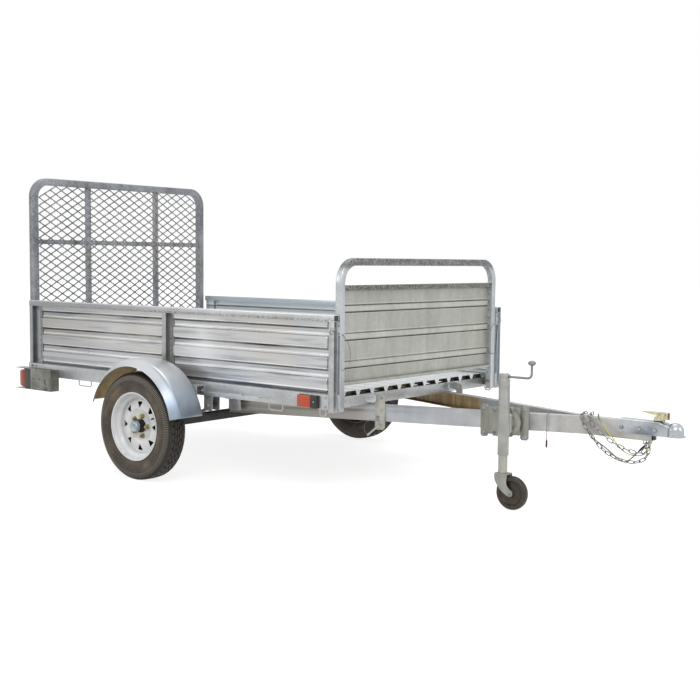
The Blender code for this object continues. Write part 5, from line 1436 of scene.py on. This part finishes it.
lattice = piece("ramp_gate_mesh", makeLattice(latticeValues), "zincLattice", "ramp_gate", 0,
                ("ramp_gate_lattice",))
print("lattice cut:", len(lattice.data.polygons), "faces")


# Front gate's pressed panel, folded forward along its lower edge and down along its upper one
gateValues = {"middles": (0.617, 0.744, 0.870), "foot": 0.0185, "head": 0.0105, "depth": 0.0100,
              "runOut": 0.012, "low": 0.527, "high": 0.976, "half": 0.6157}
gateBack = 2.217
half = gateValues["half"]
gateSheet = ribbedSheet(gateValues, gateValues["low"], gateValues["high"], -half, half,
                        -half + 0.004, half - 0.004, lambda y, out, z: (along(gateBack + out), y, z))
thicken(gateSheet, (-1, 0, 0), 0.002)
piece("front_gate_sheet", gateSheet, "zincGate", "front_gate", 32, ("front_gate_panel",))
folds = bmesh.new()
for outline in (
    [(gateBack - 0.001, 0.9732), (gateBack - 0.0005, 0.9755), (gateBack + 0.0015, 0.976),
     (gateBack + 0.0225, 0.976), (gateBack + 0.0240, 0.9745), (gateBack + 0.0240, 0.953),
     (gateBack + 0.0215, 0.953), (gateBack + 0.0215, 0.9732)],
    [(gateBack - 0.001, 0.527), (gateBack + 0.0230, 0.527), (gateBack + 0.0240, 0.528),
     (gateBack + 0.0240, 0.540), (gateBack + 0.0216, 0.540), (gateBack + 0.0216, 0.5298),
     (gateBack - 0.001, 0.5298)],
):
    prism([(along(x), z) for x, z in outline], -half, half, "Y", folds)
piece("front_gate_folds", folds, "zincGate", "front_gate", 30, bevel=0.0006)
print("front gate pressed")


# Frame members under the bed and round its walls: rounded copies with punched holes
frameValues = {"edge": 0.0012, "punch": 0.0042, "pitch": 0.0315}
for label, side in sides:
    cutter = bmesh.new()
    for x in (0.074, 1.167):                         # rows of holes in the posts' inner legs
        for i in range(9):
            z = 0.528 + frameValues["pitch"] * i
            rod((along(x), side * 0.6690, z), (along(x), side * 0.6770, z),
                frameValues["punch"], 10, cutter)
    soften("side_frame_" + label, "zincCap", frameValues["edge"], cutter)
    soften("bed_rail_" + label, "zincRail", 0.0008)
    plugs = bmesh.new()                              # black inside each end of the cap rail
    for x in (0.0030, 2.2470):
        block((along(x), along(x + 0.0020)), sorted((side * 0.6672, side * 0.6968)),
              (0.8192, 0.8428), plugs)
    piece("cap_ends_" + label, plugs, "blackPlastic", "bed", 30, bevel=0.0006)
for member in ("front", "tilt", "middle", "rear"):
    soften("crossmember_" + member, "zincCross", 0.0014)

# Floor: one corrugated sheet, its ridges running lengthwise, rounded where they turn
floorValues = {"rear": 0.022, "front": 2.175, "half": 0.665, "base": 0.4645, "rise": 0.022,
               "ridges": 12, "spare": 0.391, "foot": 0.0455, "head": 0.0345, "sheet": 0.002,
               "round": 0.0035}


def roundedLine(points, reach):                      # a flat line with its corners drawn soft
    line = [points[0]]
    for before, corner, after in zip(points, points[1:], points[2:]):
        toBefore = (before - corner).normalized() * reach
        toAfter = (after - corner).normalized() * reach
        for share in (0.0, 0.33, 0.67, 1.0):
            line.append(corner + toBefore * (1 - share) ** 2 + toAfter * share ** 2)
    return line + [points[-1]]


def makeFloor(values):
    pitch = 2 * values["half"] / (values["ridges"] + values["spare"])
    line = [Vector((-values["half"], values["base"]))]
    for i in range(values["ridges"]):
        centre = (i - (values["ridges"] - 1) / 2) * pitch
        for share, height in ((-values["foot"], 0), (-values["head"], values["rise"]),
                              (values["head"], values["rise"]), (values["foot"], 0)):
            line.append(Vector((centre + share, values["base"] + height)))
    line.append(Vector((values["half"], values["base"])))
    line = roundedLine(line, values["round"])
    mesh = bmesh.new()
    ends = []
    for x in (values["rear"], values["front"]):
        ends.append([[mesh.verts.new((along(x), p.x, p.y + lift)) for p in line]
                     for lift in (0, values["sheet"])])
    rear, front = ends
    for i in range(len(line) - 1):
        for k in (0, 1):                             # the sheet's lower and upper skins
            skin = mesh.faces.new((rear[k][i], rear[k][i + 1], front[k][i + 1], front[k][i]))
            skin.material_index = 1 - k
        for end in ends:
            mesh.faces.new((end[0][i], end[0][i + 1], end[1][i + 1], end[1][i]))
    for i in (0, -1):
        mesh.faces.new((rear[0][i], rear[1][i], front[1][i], front[0][i]))
    return mesh


floorSheet = piece("floor_sheet", makeFloor(floorValues), "zincFloor", "bed", 50, ("floor",))
# the lower skin takes the painted shade
floorSheet.data.materials.append(coats["floorUnder"])
for label, side in sides:
    soften("drawbar_beam_" + label, "zincBeam", 0.0012)
print("frame rounded")


# Bolts through the rails, the hangers and the hinge brackets
def rowOfBolts(name, body, rows):
    mesh = bmesh.new()
    for place, axis, size, proud in rows:
        bolt(place, axis, size, mesh, proud)
    piece(name, mesh, "brightZinc", body, 32)


springY = 0.664
for label, side in sides:
    rows = []
    for x in (0.875, 1.445):
        for way in (-1, 1):
            rows.append(((along(x), side * springY + way * 0.0269, 0.372), (0, way, 0), 0.0100,
                         0.006 if way > 0 else 0.0))
    for z in (0.436, 0.478):
        rows.append(((along(2.206), side * 0.7001, z), (0, side, 0), 0.0062, 0.0))
    for x in (0.024, 0.058):
        rows.append(((along(x), side * 0.7001, 0.478), (0, side, 0), 0.0062, 0.0))
    rowOfBolts("rail_bolts_" + label, "bed", rows)

# Springs: leaves, clamp bolts round the axle, and the eyes' bushes
for label, side in sides:
    soften("leaf_spring_" + label, "blackSteel", 0.0008)
    clamps = bmesh.new()
    axle, y = wheelValues["axle"], side * springY
    block((along(axle - 0.045), along(axle + 0.045)), (y - 0.038, y + 0.038), (0.2372, 0.2427), clamps)
    for x in (axle - 0.0300, axle + 0.0300):
        swept([(along(x), y + out, z) for out, z in (
            (-0.0270, 0.2330), (-0.0270, 0.3060), (-0.0235, 0.3140), (-0.0150, 0.3160),
            (0.0150, 0.3160), (0.0235, 0.3140), (0.0270, 0.3060), (0.0270, 0.2330))],
            0.0050, 12, mesh=clamps)
        for way in (-1, 1):
            hexagon((along(x), y + way * 0.0270, 0.2370), (0, 0, -1), 0.0175, 0.0080, clamps)
    piece("axle_clamps_" + label, clamps, "brightZinc", "bed", 34)
soften("axle", "blackSteel", 0.0018)
print("springs bolted")


# Coupler: pressed channel that narrows to a domed socket, with a flared lip
couplerValues = {"low": 0.364, "corner": 0.008, "socket": 3.534, "inner": 0.0283,
                 "bolts": (3.305, 3.387, 3.458)}
# place along, half width and top of each section
couplerRows = ((3.288, 0.0325, 0.4210), (3.300, 0.0325, 0.4210), (3.460, 0.0325, 0.4210),
               (3.468, 0.0323, 0.4207), (3.477, 0.0314, 0.4193), (3.487, 0.0298, 0.4167),
               (3.497, 0.0282, 0.4140), (3.506, 0.0269, 0.4112), (3.516, 0.0257, 0.4050),
               (3.527, 0.0246, 0.3965))
rings = []
for x, half, top in couplerRows:
    corner = couplerValues["corner"]
    ring = [(along(x), -half, couplerValues["low"])]
    for i in range(6):
        turn = pi / 2 * i / 5
        ring.append((along(x), -half + corner - corner * cos(turn), top - corner + corner * sin(turn)))
    ring += [(px, -y, z) for px, y, z in reversed(ring)]
    rings.append(ring)
coupler = piece("coupler_body", loft(rings), "zincSmooth", "drawbar", 0, ("coupler",))
dome = turned((along(couplerValues["socket"]), 0, 0), (0, 0, 1), (
    (0.3632, 0.0360), (0.3840, 0.0360), (0.3890, 0.0357), (0.3940, 0.0348), (0.3990, 0.0332),
    (0.4035, 0.0311), (0.4080, 0.0282), (0.4120, 0.0248), (0.4155, 0.0206), (0.4180, 0.0163),
    (0.4198, 0.0115), (0.4207, 0.0062), (0.4210, 0.0020)), 48)
carve(coupler, dome, "UNION")
lip = [(along(3.291), -0.0322), (along(3.295), -0.0362), (along(3.440), -0.0362),
       (along(3.468), -0.0378)]
for i in range(29):
    turn = radians(-105 + 7.5 * i)
    lip.append((along(couplerValues["socket"]) + 0.043 * cos(turn), 0.043 * sin(turn) * 0.94))
lip += [(x, -y) for x, y in reversed(lip[:4])]
carve(coupler, prism(lip, 0.3622, 0.3664, "Z"), "UNION")
inner = couplerValues["inner"]
carve(coupler, block((along(3.270), along(3.480)), (-inner, inner), (0.354, 0.4133)))
carve(coupler, turned((along(couplerValues["socket"]), 0, 0.352), (0, 0, 1), (
    (0, 0.0280), (0.034, 0.0280), (0.040, 0.0264), (0.046, 0.0222), (0.051, 0.0160),
    (0.055, 0.0080)), 40))
rounded(coupler, 0.0010, 40)
shaded(coupler, 38)
rowOfBolts("coupler_bolts", "drawbar", [
    ((along(x), side * 0.0326, 0.386), (0, side, 0), 0.0095, 0.005 if side > 0 else 0.0)
    for x in couplerValues["bolts"] for side in (-1, 1)])

# Latch lever: a folded cover, open underneath and in front, that pivots on a clevis
lever = prism([(along(x), z) for x, z in (
    (3.392, 0.4572), (3.392, 0.4598), (3.440, 0.4603), (3.500, 0.4610), (3.5030, 0.4560),
    (3.5030, 0.4300), (3.478, 0.4285), (3.455, 0.4445), (3.430, 0.4500))], -0.012, 0.012, "Y")
latch = piece("latch_lever", lever, "creamZinc", "drawbar", 0, ("coupler_latch",))
carve(latch, prism([(along(x), z) for x, z in (
    (3.436, 0.4582), (3.510, 0.4588), (3.510, 0.4200), (3.470, 0.4200), (3.444, 0.4400),
    (3.420, 0.4470))], -0.0098, 0.0098, "Y"))
holes = bmesh.new()
for x, z, radius in ((3.466, 0.4540, 0.0024), (3.492, 0.4520, 0.0030), (3.468, 0.4440, 0.0020)):
    rod((along(x), -0.02, z), (along(x), 0.02, z), radius, 14, holes)
carve(latch, holes)
shaded(latch, 30)
latch.data.materials.append(coats["redPlastic"])
for face in latch.data.polygons:                     # painted shade on the lever's front end, in the dark red material
    if face.center.x > along(3.5020):
        face.material_index = 1
clevis = bmesh.new()
for y in (-0.0088, 0.0068):
    block((along(3.440), along(3.484)), (y, y + 0.0020), (0.4213, 0.4400), clevis)
block((along(3.440), along(3.480)), (-0.0088, 0.0088), (0.4213, 0.4238), clevis)
rod((along(3.477), -0.0132, 0.4350), (along(3.477), 0.0132, 0.4350), 0.0034, 16, clevis)
piece("latch_clevis", clevis, "creamZinc", "drawbar", 34)
spring = [(along(3.455) + 0.0052 * cos(t * 0.9), 0.0052 * sin(t * 0.9), 0.4240 + 0.0006 * t)
          for t in range(34)]
piece("latch_spring", swept(spring, 0.0008, 8), "brightZinc", "drawbar", 60)
print("coupler and latch made")


# Chains: round links on the same routes as their solids, each square to the last
linkValues = {"pitch": 0.0270, "wire": 0.0021, "half": 0.0068}


def makeChain(name, route, node):
    joints = smoothPath([(along(x), y, z) for x, y, z in route], linkValues["pitch"])
    mesh = bmesh.new()
    side = Vector((0, 1, 0))
    count = len(joints) - 1
    wire, half = linkValues["wire"], linkValues["half"]
    for i in range(count - 1, -1, -1):
        centre = (joints[i] + joints[i + 1]) / 2
        step = (joints[i + 1] - joints[i]).normalized()
        side = (side - step * side.dot(step)).normalized()
        width = side if (count - 1 - i) % 2 == 0 else side.cross(step)
        straight = (joints[i + 1] - joints[i]).length / 2 + wire - half
        line = []
        for end in (1, -1):
            for k in range(7):
                turn = pi * k / 6
                line.append(centre + step * end * (straight + half * sin(turn))
                            + width * end * half * cos(turn))
        swept(line, wire, 8, True, mesh)
    piece(name, mesh, "chainZinc", "drawbar", 60, (node,))


anchorX = 3.4125
hangZ = 0.3278
makeChain("chain_links_right", (
    (bend + 0.021, 0.014, 0.425), (bend + 0.021, -0.010, 0.425), (bend + 0.024, -0.034, 0.421),
    (bend + 0.034, -0.048, 0.403), (bend + 0.060, -0.053, 0.378), (bend + 0.103, -0.052, 0.345),
    (bend + 0.156, -0.050, 0.312), (bend + 0.216, -0.044, 0.290), (anchorX - 0.030, -0.028, 0.279),
    (anchorX - 0.006, -0.016, 0.286), (anchorX, -0.014, 0.304), (anchorX, -0.014, hangZ)),
    "safety_chain_right")
makeChain("chain_links_left", (
    (bend - 0.014, 0.022, 0.425), (bend - 0.014, -0.008, 0.425), (bend - 0.012, -0.034, 0.421),
    (bend - 0.004, -0.048, 0.403), (bend + 0.014, -0.055, 0.378), (bend + 0.052, -0.059, 0.335),
    (bend + 0.111, -0.067, 0.283), (bend + 0.176, -0.071, 0.254), (anchorX - 0.058, -0.058, 0.243),
    (anchorX - 0.024, -0.026, 0.243), (anchorX - 0.005, 0.004, 0.262), (anchorX, 0.014, 0.292),
    (anchorX, 0.014, hangZ)), "safety_chain_left")
print("chains linked")


# Jack: plates on the beam, swivel disc, column, crank, leg, fork and wheel
jackValues = {"x": 2.850, "y": -0.24658, "mount": 2.812, "pivot": 0.372,
              "wheel": 2.900, "wheelZ": 0.075, "cheek": 0.0240, "cheekInner": 0.0205}
yj = jackValues["y"]
jackPlace = Vector((along(jackValues["x"]), yj, 0))


def onMount(forward, out, z):
    return onBar(jackValues["mount"], forward, out, z)


def curved(route, spacing):                          # smooth pairs of values through a route
    return [(p.x, p.y) for p in smoothPath([(a, b, 0) for a, b in route], spacing)]


beamOut = onMount(0, 1, 0) - onMount(0, 0, 0)
soften("jack_mount", "zincPlate", 0.0014)
mesh = bmesh.new()
for forward, z, out, size in ((-0.112, 0.431, 0.0061, 0.0105), (-0.112, 0.312, 0.0061, 0.0105),
                              (0.071, 0.433, 0.0061, 0.0105), (0.071, 0.304, 0.0061, 0.0105),
                              (-0.064, 0.425, 0.0300, 0.0085), (-0.064, 0.318, 0.0300, 0.0085),
                              (0.018, 0.427, 0.0300, 0.0085), (0.018, 0.317, 0.0300, 0.0085)):
    bolt(onMount(forward, out, z), beamOut, size, mesh, 0.005)
piece("jack_mount_bolts", mesh, "brightZinc", "drawbar", 34)
# raised ring round the swivel's boss and the notches its locking pin drops into
mesh = turned(onMount(0, 0.0401, jackValues["pivot"]), beamOut, (
    (-0.001, 0.0330), (0.0028, 0.0345), (0.0028, 0.0400), (-0.001, 0.0420)), 40, True)
for i in range(8):
    turn = 2 * pi * (i + 0.5) / 8
    across, up = 0.050 * sin(turn), jackValues["pivot"] + 0.050 * cos(turn)
    rod(onMount(across, 0.0395, up), onMount(across, 0.0412, up), 0.0042, 14, mesh)
piece("swivel_ring", mesh, "zincPlate", "drawbar", 30)

column = turned(jackPlace, (0, 0, 1), (
    (0.2380, 0.0212), (0.2380, 0.0246), (0.2388, 0.0250), (0.5480, 0.0250), (0.5490, 0.0254),
    (0.5540, 0.0254), (0.5550, 0.0250), (0.5640, 0.0250), (0.5650, 0.0255), (0.5710, 0.0255),
    (0.5722, 0.0248), (0.5726, 0.0222), (0.5780, 0.0218), (0.5800, 0.0210), (0.5965, 0.0208),
    (0.5985, 0.0200), (0.6000, 0.0180), (0.6000, 0.0020), (0.5660, 0.0020), (0.5660, 0.0210)),
    56, True)
piece("jack_tube", column, "jackPaint", "jack", 32, ("jack_column",))
mesh = bmesh.new()
for i in range(1, 14):                               # ribs round the cap, clear of the crank
    turn = 2 * pi * i / 14
    spoke = Vector((cos(turn), sin(turn), 0))
    across = Vector((-sin(turn), cos(turn), 0)) * 0.0022
    rings = []
    for z, reach in ((0.5795, 0.0030), (0.5950, 0.0030), (0.5975, 0.0012)):
        level = jackPlace + spoke * 0.0200 + Vector((0, 0, z))
        rings.append([level - across, level + across, level + across * 0.6 + spoke * reach,
                      level - across * 0.6 + spoke * reach])
    loft(rings, mesh=mesh)
piece("jack_cap_ribs", mesh, "jackPaint", "jack", 30)
footOutline = [(-0.028, -0.037), (-0.020, -0.045), (0.020, -0.045), (0.028, -0.037), (0.028, 0.037),
               (0.020, 0.045), (-0.020, 0.045), (-0.028, 0.037)]
piece("swivel_foot", loft([[onMount(f, out, jackValues["pivot"] + z) for f, z in footOutline]
                           for out in (0.0605, 0.0980)]), "jackPaint", "jack", 30, bevel=0.0025)

mesh = bmesh.new()
elbow = along(jackValues["x"] + 0.135)
armStart = along(jackValues["x"] + 0.0238)
armZ, bendRadius = 0.586, 0.020
line = [(armStart, yj, armZ), (elbow - 0.024, yj, armZ)]
for i in range(1, 7):
    turn = pi / 2 * i / 6
    line.append((elbow - bendRadius + bendRadius * sin(turn), yj, 0.606 - bendRadius * cos(turn)))
line.append((elbow, yj, 0.646))
swept(line, 0.0052, 16, mesh=mesh)
turned((armStart, yj, armZ), (1, 0, 0), (
    (0, 0.0060), (0.001, 0.0065), (0.006, 0.0065), (0.007, 0.0056)), 20, mesh=mesh)
piece("crank_arm", mesh, "crankSteel", "jack", 40, ("jack_crank",))
mesh = turned((elbow, yj, 0), (0, 0, 1), (
    (0.6420, 0.0070), (0.6435, 0.0085), (0.6455, 0.0130), (0.6480, 0.0158), (0.6515, 0.0172),
    (0.6550, 0.0170), (0.6585, 0.0150), (0.6620, 0.0105), (0.6642, 0.0050), (0.6650, 0.0006)), 40)
piece("crank_knob", mesh, "knobZinc", "jack", 60)

leg = turned(jackPlace, (0, 0, 1), (
    (0.1603, 0.0200), (0.1608, 0.0205), (0.4930, 0.0205), (0.4950, 0.0190), (0.4950, 0.0160),
    (0.1650, 0.0160), (0.1650, 0.0020), (0.1603, 0.0020)), 48, True)
piece("jack_inner_tube", leg, "zincLeg", "leg", 34, ("jack_leg",))

# fork: two cheeks that sweep back, rounded at the axle, under a crown
start, wheelX = jackValues["x"], jackValues["wheel"]
cheek = curved([(start - 0.0300, 0.1480), (start - 0.0280, 0.1300), (start - 0.0190, 0.1120),
                (start - 0.0060, 0.0950), (start + 0.0070, 0.0820), (start + 0.0200, 0.0730),
                (wheelX - 0.0140, 0.0640), (wheelX - 0.0020, 0.0605), (wheelX + 0.0080, 0.0625),
                (wheelX + 0.0138, 0.0720), (wheelX + 0.0110, 0.0830), (wheelX - 0.0010, 0.0935),
                (wheelX - 0.0120, 0.1060), (wheelX - 0.0170, 0.1180), (wheelX - 0.0170, 0.1320),
                (wheelX - 0.0150, 0.1450)], 0.0045)
outline = [(start - 0.0270, 0.1597), (start - 0.0300, 0.1565)] + cheek
outline += [(start + 0.0358, 0.1565), (start + 0.0330, 0.1597)]
half, inner = jackValues["cheek"], jackValues["cheekInner"]
fork = piece("fork_cheeks", prism([(along(x), z) for x, z in outline], yj - half, yj + half, "Y"),
             "forkPaint", "caster", 0, ("caster_fork",))
carve(fork, block((along(start - 0.1), along(start + 0.2)), (yj - inner, yj + inner),
                  (0.0, 0.1552)))
rounded(fork, 0.0012, 40)
shaded(fork, 36)
mesh = bmesh.new()
wheelPlace = Vector((along(wheelX), yj, jackValues["wheelZ"]))
out = Vector((0, half, 0))
for side in (-1, 1):
    bolt(wheelPlace + side * out, (0, side, 0), 0.0085, mesh)
rod(wheelPlace - out, wheelPlace + out, 0.0058, 16, mesh)
piece("caster_bolt", mesh, "brightZinc", "caster", 34)

casterHalf = [
    (-0.0178, 0.0066), (-0.0178, 0.0150), (-0.0165, 0.0170), (-0.0140, 0.0185), (-0.0095, 0.0205),
    (-0.0080, 0.0240), (-0.0080, 0.0470), (-0.0095, 0.0510), (-0.0130, 0.0535), (-0.0158, 0.0555),
    (-0.0168, 0.0590), (-0.0172, 0.0640), (-0.0170, 0.0675), (-0.0150, 0.0715), (-0.0110, 0.0738),
    (-0.0050, 0.0749)]
casterProfile = casterHalf + [(0.0, 0.0750)] + [(-place, r) for place, r in reversed(casterHalf)]
wheel = turned(wheelPlace, (0, 1, 0), casterProfile, 72, True)
piece("caster_tread", wheel, "casterTread", "roller", 34, ("caster_wheel",))
print("jack made")


# Tilt latches: the strap on the beam, its pin with a bent handle and a wire keeper
latchPlace = 2.232
for label, side in sides:
    soften("tilt_latch_" + label, "zincLatch", 0.0012)
    mesh = bmesh.new()
    line = [onBar(latchPlace, f, out, z, side) for f, out, z in (
        (-0.047, 0.034, 0.2735), (-0.058, 0.037, 0.2820), (-0.066, 0.037, 0.2980),
        (-0.066, 0.034, 0.3180), (-0.057, 0.028, 0.3340), (-0.040, 0.020, 0.3420),
        (-0.020, 0.012, 0.3420), (-0.004, 0.0085, 0.3400))]
    swept(smoothPath(line, 0.004), 0.0012, 8, mesh=mesh)
    piece("tilt_keeper_" + label, mesh, "darkWire", "drawbar", 60)
    rows = []
    for forward, z in ((0.010, 0.4480), (0.010, 0.3900), (-0.010, 0.3560)):
        rows.append((onBar(latchPlace, forward, 0.0061, z, side),
                     onBar(0, 0, 1, 0, side) - onBar(0, 0, 0, 0, side), 0.0070, 0.0))
    rowOfBolts("tilt_bolts_" + label, "drawbar", rows)
print("tilt latches made")


# Lamps: brackets with a curved slot, housings, fluted lenses, side markers
for label, side in sides:
    cutter = bmesh.new()
    inFace, outFace = side * 0.748, side * 0.762     # past both faces of the bracket's plate
    outline = []
    for radius, turns in ((0.0180, range(0, 11)), (0.0110, range(10, -1, -1))):
        for i in turns:
            turn = radians(110 + 14 * i)
            outline.append((along(0.232) + radius * cos(turn), 0.400 + radius * sin(turn)))
    prism(outline, inFace, outFace, "Y", cutter)
    for x, z, radius in ((0.112, 0.409, 0.0035), (0.170, 0.411, 0.0045)):
        rod((along(x), inFace, z), (along(x), outFace, z), radius, 14, cutter)
    soften("tail_lamp_bracket_" + label, "zincBracket", 0.0009, cutter)
    soften("tail_lamp_housing_" + label, "blackPlastic", 0.0012)
    soften("tail_lamp_lens_" + label, "redLens", 0.0022)
    mesh = bmesh.new()
    for z in (0.3640, 0.4520):                       # screws through the lens's rim
        turned((along(0.0040), side * 0.7538, z), (0, side, 0), (
            (-0.001, 0.0030), (0.0006, 0.0030), (0.0012, 0.0020)), 14, mesh=mesh)
    piece("tail_lamp_screws_" + label, mesh, "brightZinc", "bed", 34)
    soften("side_marker_base_" + label, "blackPlastic", 0.0012)
    soften("side_marker_lens_" + label, "amberLens", 0.0020)
    mesh = bmesh.new()
    turned((along(2.1525), side * 0.7223, 0.4553), (0, side, 0), (
        (-0.001, 0.0038), (0.0008, 0.0038), (0.0014, 0.0026)), 16, mesh=mesh)
    turned((along(2.0500), side * 0.7003, 0.4400), (0, side, 0), (
        (-0.001, 0.0030), (0.0008, 0.0030), (0.0014, 0.0020)), 14, mesh=mesh)
    piece("marker_screws_" + label, mesh, "brightZinc", "bed", 34)
print("lamps made")


# Latches of the front gate: bolts, spring pin and ring on the post, keeper wire on the hoop
latchX, latchZ = along(2.2400), 0.7820
for label, side in sides:
    mesh = bmesh.new()
    for z in (0.7640, 0.8000):
        bolt((along(2.2492), side * 0.6655, z), (1, 0, 0), 0.0060, mesh)
    rod((latchX, side * 0.7040, latchZ), (latchX, side * 0.6560, latchZ), 0.0050, 14, mesh)
    turned((latchX, side * 0.6990, latchZ), (0, side, 0), (
        (0, 0.0070), (0.001, 0.0078), (0.006, 0.0078), (0.007, 0.0066)), 18, mesh=mesh)
    piece("gate_latch_" + label, mesh, "brightZinc", "bed", 34)
    loop = []
    for i in range(20):
        turn = 2 * pi * i / 20
        loop.append((latchX + 0.0110 * sin(turn), side * 0.7030, 0.7720 + 0.0120 * cos(turn)))
    piece("latch_ring_" + label, swept(loop, 0.0011, 8, True), "darkWire", "bed", 60)
    # spring wire that lies along the hoop's front face and bows out over the panel
    bow = smoothPath([(frontX + out, side * y, z) for out, y, z in (
        (0.0172, 0.6330, 0.7560), (0.0176, 0.6200, 0.7450), (0.0180, 0.5950, 0.7150),
        (0.0182, 0.5800, 0.6700), (0.0182, 0.5850, 0.6280), (0.0178, 0.6080, 0.6020),
        (0.0172, 0.6330, 0.5980))], 0.006)
    piece("keeper_wire_" + label, swept(bow, 0.0011, 8), "darkWire", "front_gate", 60)
    clips = bmesh.new()
    for z in (0.5980, 0.7560):
        turned((frontX + 0.0158, side * 0.6330, z), (1, 0, 0), (
            (0, 0.0042), (0.0022, 0.0042), (0.0030, 0.0032)), 14, mesh=clips)
    piece("keeper_rivets_" + label, clips, "brightZinc", "front_gate", 34)
# nuts on the inner ends of the front gate's hinge pins
for label, side in sides:
    rowOfBolts("hinge_nuts_" + label, "bed", [
        ((frontX, side * 0.6120, frontHoopValues["pin"][2]), (0, -side, 0), 0.0095, 0.0)])
print("latches made")

with open("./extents.json", "w") as sizes:
    json.dump({"cad": [list(corner) for corner in cadBox],
               "visual": [list(corner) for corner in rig.bounds()]}, sizes)
